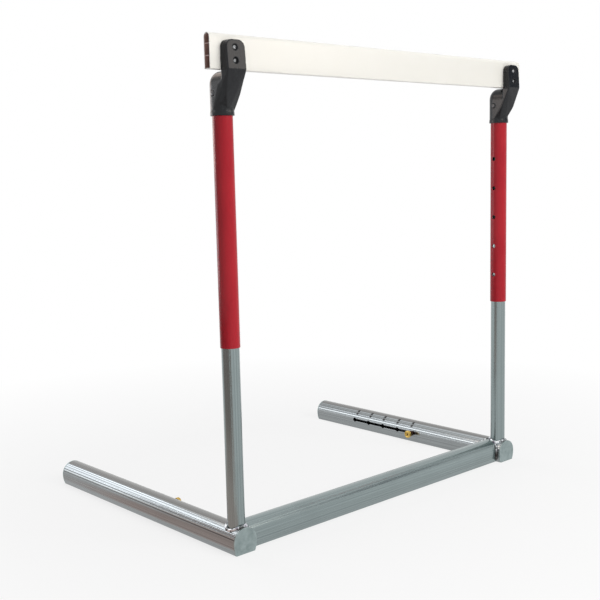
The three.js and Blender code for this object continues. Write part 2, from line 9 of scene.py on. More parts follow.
import json
import logging
import math
import random
from dataclasses import dataclass, field
from enum import Enum
from typing import Callable, Sequence

import bmesh
import bpy
import numpy as np
from mathutils import Matrix, Vector


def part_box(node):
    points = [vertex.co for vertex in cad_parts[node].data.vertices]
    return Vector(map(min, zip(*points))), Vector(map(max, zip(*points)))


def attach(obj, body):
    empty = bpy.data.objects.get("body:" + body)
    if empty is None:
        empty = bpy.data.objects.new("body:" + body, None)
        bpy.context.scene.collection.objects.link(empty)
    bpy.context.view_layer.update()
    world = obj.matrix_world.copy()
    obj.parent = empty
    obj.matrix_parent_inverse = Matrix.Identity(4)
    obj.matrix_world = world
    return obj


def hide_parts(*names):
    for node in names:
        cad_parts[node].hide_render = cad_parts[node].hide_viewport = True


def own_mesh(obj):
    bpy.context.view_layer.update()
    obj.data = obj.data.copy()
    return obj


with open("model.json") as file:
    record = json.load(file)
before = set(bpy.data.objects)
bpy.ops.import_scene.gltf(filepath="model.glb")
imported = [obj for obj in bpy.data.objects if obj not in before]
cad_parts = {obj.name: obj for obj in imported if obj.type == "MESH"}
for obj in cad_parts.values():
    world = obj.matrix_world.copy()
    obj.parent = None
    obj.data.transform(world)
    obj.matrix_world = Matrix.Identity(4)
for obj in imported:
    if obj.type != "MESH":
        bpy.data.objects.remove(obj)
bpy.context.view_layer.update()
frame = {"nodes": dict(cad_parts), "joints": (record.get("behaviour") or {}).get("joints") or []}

LOG = logging.getLogger("hurdle")
MM = 0.001
MIX_INPUTS = (0, 6, 7)
MIX_RESULT = 2
SMOOTH_BELOW = 32
EASE_ABOVE = 34
FLAT_BELOW = 0.6
WELD_WITHIN = 0.002 * MM
ON_AXIS = 1e-7

Point = Sequence[float]
Profile = Sequence[tuple[float, float]]
Colour = tuple[float, float, float]
Socket = bpy.types.NodeSocket
Material = bpy.types.Material
Object = bpy.types.Object
Shell = bmesh.types.BMesh


class Run(Enum):
    """Axis that a tube runs along, as its index."""

    ACROSS = 0
    BACK = 1
    UP = 2


class Side(Enum):
    """The two halves of the hurdle, with the sign of the way to its middle."""

    LEFT = ("left", 1)
    RIGHT = ("right", -1)

    def __init__(self, label: str, inward: int) -> None:
        """Keeps the name's prefix and the inward sign."""
        self.label = label
        self.inward = inward

    def node(self, piece: str) -> str:
        """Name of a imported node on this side."""
        return f"{self.label}_{piece}"

    def axis(self) -> Vector:
        """Foot of the upright's axis, on the ground."""
        low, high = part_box(self.node("sleeve"))
        return Vector(((low.x + high.x) / 2, (low.y + high.y) / 2, 0))

    def at(self, inward: float, back: float, up: float) -> Vector:
        """A point given from the upright's foot.

        Args:
            inward: Distance towards the middle of the hurdle.
            back: Distance behind the upright's axis.
            up: Height above the ground.

        Returns:
            The point in the hurdle's own frame.
        """
        return self.axis() + Vector((self.inward * inward, back, up))

    def tip(self, piece: str) -> Vector:
        """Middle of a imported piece's end that looks to the middle of the hurdle.

        Args:
            piece: Name of the piece, without its side.

        Returns:
            The point in the hurdle's own frame.
        """
        low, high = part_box(self.node(piece))
        return Vector((high.x if self.inward > 0 else low.x, (low.y + high.y) / 2, (low.z + high.z) / 2))


# Finishes


class Recipe:
    """A material under construction: it adds nodes and wires them to one surface shader."""

    def __init__(self, name: str) -> None:
        """Starts an empty material with one surface shader.

        Args:
            name: Name of the material.
        """
        self.material = bpy.data.materials.new(name)
        self.material.use_nodes = True
        self.tree = self.material.node_tree
        self.tree.nodes.clear()
        self.surface = self.tree.nodes.new("ShaderNodeBsdfPrincipled")
        self.output = self.tree.nodes.new("ShaderNodeOutputMaterial")
        self.wire(self.surface.outputs["BSDF"], self.output.inputs["Surface"])
        self.place = self.add("ShaderNodeTexCoord").outputs["Object"]

    def wire(self, source: Socket, target: Socket) -> None:
        """Joins two sockets."""
        self.tree.links.new(source, target)

    def feed(self, target: Socket, value: object) -> None:
        """Wires a socket into a target, or sets the target's own value.

        Args:
            target: Input of a node.
            value: Socket, number, or colour of three numbers.
        """
        if isinstance(value, Socket):
            self.wire(value, target)
        elif isinstance(value, tuple) and len(value) == 3 and len(target.default_value) == 4:
            target.default_value = (*value, 1)
        else:
            target.default_value = value

    def add(self, kind: str, settings: dict[str, object] | None = None,
            **inputs: object) -> bpy.types.Node:
        """Adds a node.

        Args:
            kind: Blender's name of the node.
            settings: Values of the node's own properties.
            **inputs: Values or sockets for its inputs, by name with _ for a space.

        Returns:
            The new node.
        """
        node = self.tree.nodes.new(kind)
        for key, value in (settings or {}).items():
            setattr(node, key, value)
        for key, value in inputs.items():
            self.feed(node.inputs[key.replace("_", " ")], value)
        return node

    def sum(self, operation: str, *values: object) -> Socket:
        """Does one piece of arithmetic.

        Args:
            operation: Blender's name of the operation.
            *values: Numbers or sockets.

        Returns:
            The result's socket.
        """
        node = self.add("ShaderNodeMath", {"operation": operation})
        for socket, value in zip(node.inputs, values):
            self.feed(socket, value)
        return node.outputs[0]

    def plus(self, first: object, second: object) -> Socket:
        """First plus second."""
        return self.sum("ADD", first, second)

    def minus(self, first: object, second: object) -> Socket:
        """First minus second."""
        return self.sum("SUBTRACT", first, second)

    def times(self, first: object, second: object) -> Socket:
        """First times second."""
        return self.sum("MULTIPLY", first, second)

    def larger(self, first: object, second: object) -> Socket:
        """The larger of the two."""
        return self.sum("MAXIMUM", first, second)

    def mixed_in(self, value: object, share: float, base: object) -> Socket:
        """Value times share, plus base."""
        return self.sum("MULTIPLY_ADD", value, share, base)

    def span(self, first: object, second: object) -> Socket:
        """Length of the diagonal over two sides at a right angle."""
        return self.sum("SQRT", self.plus(self.times(first, first), self.times(second, second)))

    def axes(self) -> bpy.types.NodeOutputs:
        """The piece's own X, Y and Z as three sockets."""
        return self.add("ShaderNodeSeparateXYZ", Vector=self.place).outputs

    def stretched(self, scale: Point) -> Socket:
        """The piece's own coordinates, scaled along each axis."""
        return self.add("ShaderNodeMapping", Vector=self.place, Scale=tuple(scale)).outputs[0]

    def noise(self, vector: Socket, scale: float, detail: float, roughness: float,
              dimensions: str = "3D") -> Socket:
        """Noise between about 0 and 1.

        Args:
            vector: Socket with the coordinates.
            scale: Number of features per unit.
            detail: Number of finer layers.
            roughness: Weight of the finer layers.
            dimensions: Blender's name for the noise's dimensions.

        Returns:
            The noise's socket.
        """
        return self.add("ShaderNodeTexNoise", {"noise_dimensions": dimensions}, Vector=vector,
                        Scale=scale, Detail=detail, Roughness=roughness).outputs[0]

    def spread(self, value: object, low: float, high: float, start: float = 0,
               end: float = 1) -> Socket:
        """Maps a value from one range to another, clamped.

        Args:
            value: The value.
            low: Where its range starts.
            high: Where its range ends.
            start: Result at the start.
            end: Result at the end.

        Returns:
            The result's socket.
        """
        node = self.add("ShaderNodeMapRange", {"clamp": True})
        for socket, number in zip(node.inputs, (value, low, high, start, end)):
            self.feed(socket, number)
        return node.outputs[0]

    def blend(self, share: object, first: object, second: object) -> Socket:
        """Mixes two colours.

        Args:
            share: Share of the second colour.
            first: Colour at share 0.
            second: Colour at share 1.

        Returns:
            The mixed colour's socket.
        """
        node = self.add("ShaderNodeMix", {"data_type": "RGBA"})
        for place, value in zip(MIX_INPUTS, (share, first, second)):
            self.feed(node.inputs[place], value)
        return node.outputs[MIX_RESULT]

    def relief(self, height: object, depth: float, strength: float = 1,
               normal: Socket | None = None) -> Socket:
        """Turns a height into a bumped normal.

        Args:
            height: Socket with the height, 0 to 1.
            depth: Real depth of the relief, in metres.
            strength: Share of the relief that shows.
            normal: Normal that the relief lies on.

        Returns:
            The normal's socket.
        """
        node = self.add("ShaderNodeBump", Strength=strength, Distance=depth, Height=height)
        if normal is not None:
            self.wire(normal, node.inputs["Normal"])
        return node.outputs["Normal"]

    def gap(self, value: object, centre: float, half_width: float, soft: float) -> Socket:
        """A band round a centre.

        Args:
            value: The value.
            centre: Middle of the band.
            half_width: Half of the band's width.
            soft: Width of the edge over which the band fades.

        Returns:
            Socket with 1 in the band and 0 outside it.
        """
        away = self.sum("ABSOLUTE", self.minus(value, centre))
        return self.spread(away, half_width, half_width + soft, 1, 0)

    def dress(self, **inputs: object) -> Material:
        """Feeds the surface shader.

        Args:
            **inputs: Values or sockets for its inputs, by name with _ for a space.

        Returns:
            The finished material.
        """
        for key, value in inputs.items():
            self.feed(self.surface.inputs[key.replace("_", " ")], value)
        return self.material


@dataclass
class TubeSkin:
    """Finish of a tube while it builds up: where a point lies and how it looks so far."""

    recipe: Recipe
    run: Run
    centre: tuple[float, float]
    colour: object = None
    normal: Socket | None = None
    rough: object = None
    metal: object = 1.0

    def __post_init__(self) -> None:
        """Finds the point's place round the tube and along it."""
        recipe = self.recipe
        axes = recipe.axes()
        first, second = [axes[i] for i in range(3) if i != self.run.value]
        self.along = axes[self.run.value]
        self.height = axes[2]
        self.u = recipe.minus(first, self.centre[0])
        self.v = recipe.minus(second, self.centre[1])
        self.angle = recipe.sum("ARCTAN2", self.v, self.u)
        self.from_top = recipe.sum("ABSOLUTE", recipe.minus(self.angle, math.pi / 2))

    def lines(self, around: float, along: float) -> Socket:
        """Coordinates for lines along the tube, with their number per radian and per metre."""
        return self.recipe.add("ShaderNodeCombineXYZ", X=self.recipe.times(self.angle, around),
                               Y=self.recipe.times(self.along, along)).outputs[0]

    def tint(self, share: object, colour: object) -> None:
        """Lays a colour over the one so far."""
        self.colour = self.recipe.blend(share, self.colour, colour)

    def emboss(self, height: object, depth: float) -> None:
        """Adds relief to the normal so far."""
        self.normal = self.recipe.relief(height, depth, 1, self.normal)


@dataclass(frozen=True)
class ExtrudedAluminium:
    """Pressed aluminium tube with fine lines along its length, rubbed by handling, with painted highlight
    and painted shade.

    The lines follow the angle round the tube's own axis, so they run dead straight. Angles are in radians.
    Lines and streaks are counted per radian, and what ends in _along per metre.
    """

    name: str
    run: Run
    centre: tuple[float, float]
    light: Colour = (0.315, 0.37, 0.372)
    dark: Colour = (0.215, 0.258, 0.26)
    # Painted shade on the crown, from its dark to its light tone.
    crown_shade_dark: Colour = (0.17, 0.165, 0.16)
    crown_shade_light: Colour = (0.25, 0.25, 0.245)
    # Painted shade in the grooves and painted highlight on the ridge.
    groove_shade: Colour = (0.05, 0.052, 0.055)
    ridge_highlight: Colour = (0.6, 0.64, 0.645)
    # Painted shade and painted highlight along the streaks; the shade also darkens the seams.
    streak_shade: Colour = (0.1, 0.11, 0.115)
    streak_highlight: Colour = (0.62, 0.67, 0.7)
    mark_paint: Colour = (0.012, 0.012, 0.013)
    # Painted shade inside the tube.
    inner_shade: Colour = (0.015, 0.015, 0.016)
    lines: float = 26
    lines_along: float = 1.6
    line_depth: float = 0.05 * MM
    hairs_per_line: float = 5
    hair_along: float = 2.5
    streaks: float = 12
    streaks_along: float = 0.35
    ridges: tuple[float, ...] = ()
    ridge_depth: float = 0.35 * MM
    ridge_half: float = 0.02
    ridge_fade: float = 0.03
    ridge_to_groove: float = 0.105
    groove_half: float = 0.014
    groove_fade: float = 0.024
    seams: tuple[float, ...] = ()
    seam_half: float = 0.012
    seam_fade: float = 0.02
    seam_depth: float = 0.12 * MM
    flutes: tuple[float, float] | None = None
    flute_depth: float = 0.34 * MM
    flute_fade: float = 0.16
    # Angle from the top over which the crown gets painted shade, and the width where that shade fades.
    crown_shade_angle: float = 0
    crown_shade_edge: float = 0.18
    hollow: float = 0
    tuck: float = 5.8 * MM
    inner_from: float = 0.5 * MM
    inner_to: float = 0.8 * MM
    inner_foot: float = 1 * MM
    marks: Callable[[Recipe], Socket] | None = None

    def drawn(self, skin: TubeSkin) -> None:
        """Lays the fine lines of the die, the cloudy rubbing and painted shade on the crown.

        Args:
            skin: The tube's finish so far.
        """
        recipe = skin.recipe
        place = skin.lines(self.lines, self.lines_along)
        broad = recipe.noise(place, 0.35, 1, 0.4, "2D")
        fine = recipe.noise(place, 1.6, 3, 0.65, "2D")
        hair = recipe.noise(skin.lines(self.lines * self.hairs_per_line, self.hair_along), 1, 2, 0.7, "2D")
        cloud = recipe.noise(recipe.place, 9, 3, 0.6)
        rub = recipe.noise(recipe.place, 60, 4, 0.65)
        tone = recipe.spread(recipe.mixed_in(broad, 0.55, recipe.times(fine, 0.45)), 0.32, 0.7)
        skin.colour = recipe.blend(tone, self.dark, self.light)
        skin.tint(recipe.spread(cloud, 0.52, 0.75, 0, 0.25), tuple(c * 0.82 for c in self.dark))
        skin.emboss(recipe.mixed_in(fine, 0.7, recipe.times(hair, 0.3)), self.line_depth)
        skin.rough = recipe.mixed_in(rub, 0.04, recipe.spread(hair, 0.3, 0.7, 0.15, 0.26))
        if self.crown_shade_angle:
            # Painted shade: darkens the crown.
            dull = recipe.spread(skin.from_top, self.crown_shade_angle, self.crown_shade_angle + self.crown_shade_edge, 0.9, 0)
            skin.tint(dull, recipe.blend(tone, self.crown_shade_dark, self.crown_shade_light))

    def ridged(self, skin: TubeSkin, ridge: float) -> None:
        """Raises one ridge with a groove on either side, with painted highlight on the ridge and painted
        shade in the grooves.

        Args:
            skin: The tube's finish so far.
            ridge: The ridge's angle from the top.
        """
        recipe = skin.recipe
        raised = recipe.gap(skin.from_top, ridge, self.ridge_half, self.ridge_fade)
        above, below = [recipe.gap(skin.from_top, ridge + way * self.ridge_to_groove, self.groove_half,
                                   self.groove_fade) for way in (-1, 1)]
        grooves = recipe.larger(above, below)
        skin.emboss(recipe.times(recipe.plus(recipe.minus(raised, grooves), 1.0), 0.5), self.ridge_depth)
        # Painted shade in the grooves and painted highlight on the ridge.
        skin.tint(recipe.times(grooves, 0.75), self.groove_shade)
        skin.tint(recipe.times(raised, 0.6), self.ridge_highlight)

    def seamed(self, skin: TubeSkin, seam: float) -> None:
        """Sinks one fine seam with painted shade in it.

        Args:
            skin: The tube's finish so far.
            seam: The seam's angle round the tube.
        """
        recipe = skin.recipe
        groove = recipe.gap(skin.angle, seam, self.seam_half, self.seam_fade)
        skin.emboss(recipe.minus(1.0, groove), self.seam_depth)
        # Painted shade in the seam.
        skin.tint(recipe.times(groove, 0.3), self.streak_shade)

    def fluted(self, skin: TubeSkin) -> None:
        """Raises streaks on the tube's shoulders and lays painted shade and painted highlight along them.

        Args:
            skin: The tube's finish so far.
        """
        recipe = skin.recipe
        shoulder = recipe.gap(skin.from_top, *self.flutes, self.flute_fade)
        streak = recipe.noise(skin.lines(self.streaks, self.streaks_along), 1, 1, 0.5, "2D")
        skin.emboss(recipe.times(streak, shoulder), self.flute_depth)
        # Painted shade on the dark streaks and painted highlight on the bright ones.
        shade = recipe.times(recipe.spread(streak, 0.48, 0.62), shoulder)
        skin.tint(recipe.times(shade, 0.6), self.streak_shade)
        lit = recipe.times(recipe.spread(streak, 0.5, 0.38), shoulder)
        skin.tint(recipe.times(lit, 0.75), self.streak_highlight)

    def marked(self, skin: TubeSkin) -> None:
        """Paints the marks.

        Args:
            skin: The tube's finish so far.
        """
        mark = self.marks(skin.recipe)
        skin.tint(mark, self.mark_paint)
        skin.rough = skin.recipe.mixed_in(mark, 0.25, skin.rough)
        skin.metal = skin.recipe.minus(1.0, mark)

    def hollowed(self, skin: TubeSkin) -> None:
        """Paints shade on the inside: all that lies more than a hair within the round-topped outline.

        Args:
            skin: The tube's finish so far.
        """
        recipe = skin.recipe
        reach = recipe.span(skin.u, recipe.larger(skin.v, 0.0))
        below = recipe.larger(recipe.times(skin.v, -1 / self.centre[1]), 0.0)
        tuck = recipe.times(recipe.times(below, below), self.tuck)
        depth = recipe.minus(recipe.minus(self.hollow, tuck), reach)
        inside = recipe.spread(depth, self.inner_from, self.inner_to)
        inside = recipe.times(inside, recipe.spread(skin.height, self.inner_foot, 2 * self.inner_foot))
        # Painted shade inside the tube.
        skin.tint(inside, self.inner_shade)
        skin.rough = recipe.mixed_in(inside, 0.4, skin.rough)

    def material(self) -> Material:
        """Builds the finish.

        Returns:
            The material.
        """
        skin = TubeSkin(Recipe(self.name), self.run, self.centre)
        self.drawn(skin)
        for ridge in self.ridges:
            self.ridged(skin, ridge)
        for seam in self.seams:
            self.seamed(skin, seam)
        if self.flutes:
            self.fluted(skin)
        if self.marks:
            self.marked(skin)
        if self.hollow:
            self.hollowed(skin)
        return skin.recipe.dress(Base_Color=skin.colour, Metallic=skin.metal, Roughness=skin.rough,
                                 Normal=skin.normal)


@dataclass(frozen=True)
class SawnPlate:
    """Flat end plate, linished in one direction, with a few dark handling marks."""

    name: str
    light: Colour = (0.36, 0.43, 0.43)
    dark: Colour = (0.26, 0.32, 0.32)
    spot: Colour = (0.1, 0.11, 0.11)
    grain: Point = (60, 60, 1400)
    grain_depth: float = 0.03 * MM

    def material(self) -> Material:
        """Builds the finish.

        Returns:
            The material.
        """
        recipe = Recipe(self.name)
        grain = recipe.noise(recipe.stretched(self.grain), 1, 3, 0.7)
        cloud = recipe.noise(recipe.place, 55, 4, 0.65)
        spots = recipe.noise(recipe.place, 170, 3, 0.6)
        colour = recipe.blend(recipe.spread(cloud, 0.35, 0.7), self.light, self.dark)
        colour = recipe.blend(recipe.spread(spots, 0.66, 0.72, 0, 0.5), colour, self.spot)
        rough = recipe.mixed_in(grain, 0.2, recipe.spread(cloud, 0.3, 0.7, 0.3, 0.42))
        normal = recipe.relief(grain, self.grain_depth)
        return recipe.dress(Base_Color=colour, Metallic=1.0, Roughness=rough, Normal=normal)


@dataclass(frozen=True)
class WeldBead:
    """Freshly laid aluminium bead: bright crests, darker towards the ground and a trace of heat colour."""

    name: str
    bright: Colour = (0.8, 0.84, 0.87)
    dark: Colour = (0.13, 0.14, 0.145)
    heat_tint: Colour = (0.3, 0.2, 0.34)
    grit_tone: Colour = (0.06, 0.055, 0.05)
    grit_depth: float = 0.12 * MM
    # Darker tone towards the ground, and the heights over which it fades.
    ground_tone: Colour = (0.035, 0.028, 0.024)
    ground_tone_from: float = 29 * MM
    ground_tone_to: float = 36 * MM

    def material(self) -> Material:
        """Builds the finish.

        Returns:
            The material.
        """
        recipe = Recipe(self.name)
        grit = recipe.noise(recipe.place, 700, 3, 0.6)
        patch = recipe.noise(recipe.place, 110, 2, 0.5)
        heat = recipe.noise(recipe.place, 95, 2, 0.5)
        colour = recipe.blend(recipe.spread(patch, 0.42, 0.56), self.bright, self.dark)
        colour = recipe.blend(recipe.spread(heat, 0.55, 0.68, 0, 0.35), colour, self.heat_tint)
        colour = recipe.blend(recipe.spread(grit, 0.62, 0.7, 0, 0.6), colour, self.grit_tone)
        # Darker towards the ground.
        low = recipe.spread(recipe.axes()[2], self.ground_tone_from, self.ground_tone_to, 0.9, 0)
        colour = recipe.blend(low, colour, self.ground_tone)
        rough = recipe.spread(patch, 0.3, 0.7, 0.12, 0.36)
        normal = recipe.relief(grit, self.grit_depth)
        return recipe.dress(Base_Color=colour, Metallic=1.0, Roughness=rough, Normal=normal)


@dataclass(frozen=True)
class PowderCoat:
    """Glossy powder coat with orange peel, worn to primer at holes and at the lower rim."""

    name: str
    axis: tuple[float, float]
    rim: float
    holes: tuple[float, ...]
    hole_radius: float
    bore: float
    inward: int
    paint: Colour = (0.49, 0.019, 0.031)
    deep: Colour = (0.435, 0.016, 0.028)
    scuffed: Colour = (0.42, 0.03, 0.04)
    primer: Colour = (0.3, 0.31, 0.31)
    rim_wear: float = 1.1 * MM
    hole_wear: float = 0.9 * MM
    facing_from: float = 1 * MM
    bore_from: float = 0.1 * MM
    bore_to: float = 0.3 * MM
    peel_depth: float = 0.025 * MM

    def wear(self, recipe: Recipe) -> Socket:
        """Where the coat is worn: at the lower rim and round the holes.

        Args:
            recipe: The material under construction.

        Returns:
            Socket with the wear, 0 to 1.
        """
        x, y, z = recipe.axes()
        u = recipe.minus(x, self.axis[0])
        v = recipe.minus(y, self.axis[1])
        chips = recipe.noise(recipe.place, 1100, 4, 0.7)
        facing = recipe.spread(recipe.times(u, float(self.inward)), 0, self.facing_from)
        wear = recipe.spread(z, self.rim, self.rim + self.rim_wear, 0.75, 0)
        for height in self.holes:
            away = recipe.span(v, recipe.minus(z, height))
            edge = recipe.spread(away, self.hole_radius, self.hole_radius + self.hole_wear, 0.6, 0)
            wear = recipe.larger(wear, recipe.times(edge, facing))
        worn = recipe.spread(recipe.plus(wear, recipe.times(chips, 0.55)), 0.78, 0.86)
        reach = recipe.span(u, v)
        inside = recipe.spread(reach, self.bore + self.bore_from, self.bore + self.bore_to, 1, 0)
        return recipe.larger(worn, inside)

    def material(self) -> Material:
        """Builds the finish.

        Returns:
            The material.
        """
        recipe = Recipe(self.name)
        peel = recipe.noise(recipe.place, 520, 2, 0.5)
        cloud = recipe.noise(recipe.place, 14, 3, 0.6)
        rubbed = recipe.noise(recipe.stretched((260, 260, 22)), 1, 4, 0.7)
        worn = self.wear(recipe)
        scuff = recipe.spread(rubbed, 0.64, 0.72, 0, 0.3)
        colour = recipe.blend(recipe.spread(cloud, 0.35, 0.7), self.paint, self.deep)
        colour = recipe.blend(worn, colour, self.primer)
        colour = recipe.blend(scuff, colour, self.scuffed)
        rough = recipe.mixed_in(scuff, 0.4, recipe.spread(cloud, 0.3, 0.7, 0.14, 0.22))
        normal = recipe.relief(peel, self.peel_depth, 0.6)
        return recipe.dress(Base_Color=colour, Metallic=worn, Roughness=rough, Normal=normal,
                            Specular_IOR_Level=0.18)


@dataclass(frozen=True)
class BoardPlastic:
    """Warm white extruded plastic: faint draw lines, light scuffs and painted shade inside the hollow."""

    name: str
    middle: float
    foot: float
    top: float
    wall: float
    half_inside: float
    shell: Colour = (0.93, 0.915, 0.865)
    aged: Colour = (0.9, 0.88, 0.82)
    scratched: Colour = (0.6, 0.59, 0.56)
    # Brown painted shade inside the hollow.
    inside: Colour = (0.62, 0.42, 0.37)
    floor_fade: float = 0.3 * MM
    side_fade: float = 0.25 * MM
    draw_depth: float = 0.02 * MM

    def hidden(self, recipe: Recipe) -> Socket:
        """Where a point lies inside the hollow board.

        Args:
            recipe: The material under construction.

        Returns:
            Socket with 1 inside and 0 on the outer skin.
        """
        _, y, z = recipe.axes()
        round_from = self.top - self.half_inside - self.wall
        reach = recipe.span(recipe.minus(y, self.middle), recipe.larger(recipe.minus(z, round_from), 0.0))
        floor = self.foot + self.wall
        within = recipe.spread(reach, self.half_inside, self.half_inside + self.side_fade, 1, 0)
        return recipe.times(recipe.spread(z, floor - self.floor_fade, floor), within)

    def material(self) -> Material:
        """Builds the finish.

        Returns:
            The material.
        """
        recipe = Recipe(self.name)
        draw = recipe.noise(recipe.stretched((2, 900, 900)), 1, 3, 0.6)
        cloud = recipe.noise(recipe.place, 7, 3, 0.6)
        scratch = recipe.noise(recipe.stretched((26, 300, 420)), 1, 4, 0.72)
        colour = recipe.blend(recipe.spread(cloud, 0.4, 0.7, 0, 0.5), self.shell, self.aged)
        colour = recipe.blend(recipe.spread(scratch, 0.69, 0.74, 0, 0.18), colour, self.scratched)
        # Painted shade inside the hollow board.
        colour = recipe.blend(self.hidden(recipe), colour, self.inside)
        rough = recipe.spread(draw, 0.3, 0.7, 0.3, 0.4)
        normal = recipe.relief(draw, self.draw_depth)
        return recipe.dress(Base_Color=colour, Roughness=rough, Normal=normal, IOR=1.48)


@dataclass(frozen=True)
class MouldedNylon:
    """Black glass-filled nylon: fine spark-eroded grain, shinier where hands and sleeves rub."""

    name: str
    body: Colour = (0.0112, 0.0122, 0.0145)
    bloom: Colour = (0.018, 0.0195, 0.022)
    scuffed: Colour = (0.07, 0.068, 0.066)
    grain_depth: float = 0.018 * MM

    def material(self) -> Material:
        """Builds the finish.

        Returns:
            The material.
        """
        recipe = Recipe(self.name)
        grain = recipe.noise(recipe.place, 1900, 3, 0.6)
        flow = recipe.noise(recipe.stretched((60, 60, 18)), 1, 3, 0.6)
        scuff = recipe.noise(recipe.stretched((500, 500, 120)), 1, 4, 0.7)
        colour = recipe.blend(recipe.spread(flow, 0.35, 0.7), self.body, self.bloom)
        colour = recipe.blend(recipe.spread(scuff, 0.68, 0.75, 0, 0.3), colour, self.scuffed)
        rough = recipe.mixed_in(grain, 0.08, recipe.spread(flow, 0.3, 0.7, 0.17, 0.26))
        normal = recipe.relief(grain, self.grain_depth, 0.7)
        return recipe.dress(Base_Color=colour, Roughness=rough, Normal=normal, Specular_IOR_Level=0.26)


@dataclass(frozen=True)
class SmallMetal:
    """Finish of a small metal part: a clean and a dull tone, turning marks and fine grit."""

    name: str
    clean: Colour
    dull: Colour
    smooth: float = 0.18
    rough: float = 0.36
    patch: float = 240
    grain: Point = (900, 900, 900)
    grain_depth: float = 0.03 * MM

    def material(self) -> Material:
        """Builds the finish.

        Returns:
            The material.
        """
        recipe = Recipe(self.name)
        patch = recipe.noise(recipe.place, self.patch, 3, 0.6)
        grain = recipe.noise(recipe.stretched(self.grain), 1, 3, 0.65)
        colour = recipe.blend(recipe.spread(patch, 0.4, 0.68), self.clean, self.dull)
        rough = recipe.spread(grain, 0.25, 0.75, self.smooth, self.rough)
        normal = recipe.relief(grain, self.grain_depth)
        return recipe.dress(Base_Color=colour, Metallic=1.0, Roughness=rough, Normal=normal)


# Shaping


def smooth(mesh: bpy.types.Mesh, angle: float) -> None:
    """Makes faces smooth, but keeps edges sharp that fold more than an angle in degrees."""
    mesh.polygons.foreach_set("use_smooth", [True] * len(mesh.polygons))
    mesh.set_sharp_from_angle(angle=math.radians(angle))


def new_piece(name: str, shell: Shell, smooth_angle: float = SMOOTH_BELOW) -> Object:
    """Turns a shell into an object.

    Args:
        name: Name of the piece.
        shell: The shell, which is used up.
        smooth_angle: Edges that fold more than this many degrees stay sharp.

    Returns:
        The new object.
    """
    bmesh.ops.recalc_face_normals(shell, faces=shell.faces)
    mesh = bpy.data.meshes.new(name)
    shell.to_mesh(mesh)
    shell.free()
    smooth(mesh, smooth_angle)
    piece = bpy.data.objects.new(name, mesh)
    bpy.context.scene.collection.objects.link(piece)
    return piece


def stand_in(name: str, node: str, shell: Shell,
             smooth_angle: float = SMOOTH_BELOW) -> Object:
    """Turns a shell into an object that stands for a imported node.

    Args:
        name: Name of the piece.
        node: Name of the node.
        shell: The shell, which is used up.
        smooth_angle: Edges that fold more than this many degrees stay sharp.

    Returns:
        The new object.
    """
    piece = new_piece(name, shell, smooth_angle)
    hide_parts(node)
    return piece


def sheet(name: str, corners: Sequence[Point], material: Material) -> Object:
    """Lays or hangs a flat sheet that belongs to the studio.

    Args:
        name: Name of the sheet.
        corners: Its corners in order.
        material: Its finish.

    Returns:
        The new object.
    """
    shell = bmesh.new()
    shell.faces.new([shell.verts.new(c) for c in corners])
    piece = new_piece(name, shell)
    piece.data.materials.append(material)
    return piece


def rings_to_shell(rings: Sequence[Sequence[Point]], closed: bool) -> Shell:
    """Skins rings of equal size into a shell.

    Args:
        rings: Rings of points, in order along the piece.
        closed: Whether the last ring joins the first. Open ends get a flat cap.

    Returns:
        The shell.
    """
    shell = bmesh.new()
    loops = [[shell.verts.new(p) for p in ring] for ring in rings]
    count = len(loops[0])
    pairs = list(zip(loops, loops[1:])) + ([(loops[-1], loops[0])] if closed else [])
    for lower, upper in pairs:
        for i in range(count):
            j = (i + 1) % count
            shell.faces.new((lower[i], lower[j], upper[j], upper[i]))
    if not closed:
        shell.faces.new(loops[0][::-1])
        shell.faces.new(loops[-1])
    return shell


def turned(profile: Profile, origin: Point, direction: Point, steps: int) -> Shell:
    """A turned shell.

    Args:
        profile: Pairs of radius and place along the axis. Radius 0 closes an end.
        origin: Where the axis starts.
        direction: The axis.
        steps: Number of sides.

    Returns:
        The shell.
    """
    axis = Vector(direction).normalized()
    side = axis.orthogonal().normalized()
    up = axis.cross(side)
    shell = bmesh.new()
    loops: list[list[bmesh.types.BMVert]] = []
    for radius, place in profile:
        centre = Vector(origin) + axis * place
        if radius < ON_AXIS:
            loops.append([shell.verts.new(centre)])
            continue
        angles = [math.tau * i / steps for i in range(steps)]
        loops.append([shell.verts.new(centre + (side * math.cos(a) + up * math.sin(a)) * radius)
                      for a in angles])
    for lower, upper in zip(loops, loops[1:]):
        for i in range(steps):
            j = (i + 1) % steps
            if len(lower) == 1:
                shell.faces.new((lower[0], upper[j], upper[i]))
            elif len(upper) == 1:
                shell.faces.new((lower[i], lower[j], upper[0]))
            else:
                shell.faces.new((lower[i], lower[j], upper[j], upper[i]))
    return shell


def swept(path: Sequence[Vector], radius: Callable[[float], float], sides: int,
          closed: bool = False) -> Shell:
    """A round bar along a path.

    Args:
        path: Points of the centreline.
        radius: Radius at a distance along the path.
        sides: Number of sides.
        closed: Whether the path is a ring.

    Returns:
        The shell.
    """
    count = len(path)
    angles = [math.tau * k / sides for k in range(sides)]
    rings, travelled = [], 0.0
    side = None
    for i, point in enumerate(path):
        before = path[(i - 1) % count] if closed or i else point
        after = path[(i + 1) % count] if closed or i < count - 1 else point
        along = (after - before).normalized()
        if side is None:
            side = along.orthogonal().normalized()
        side = (side - along * side.dot(along)).normalized()
        up = along.cross(side)
        travelled += (point - path[i - 1]).length if i else 0
        reach = radius(travelled)
        rings.append([point + side * (reach * math.cos(a)) + up * (reach * math.sin(a)) for a in angles])
    return rings_to_shell(rings, closed)


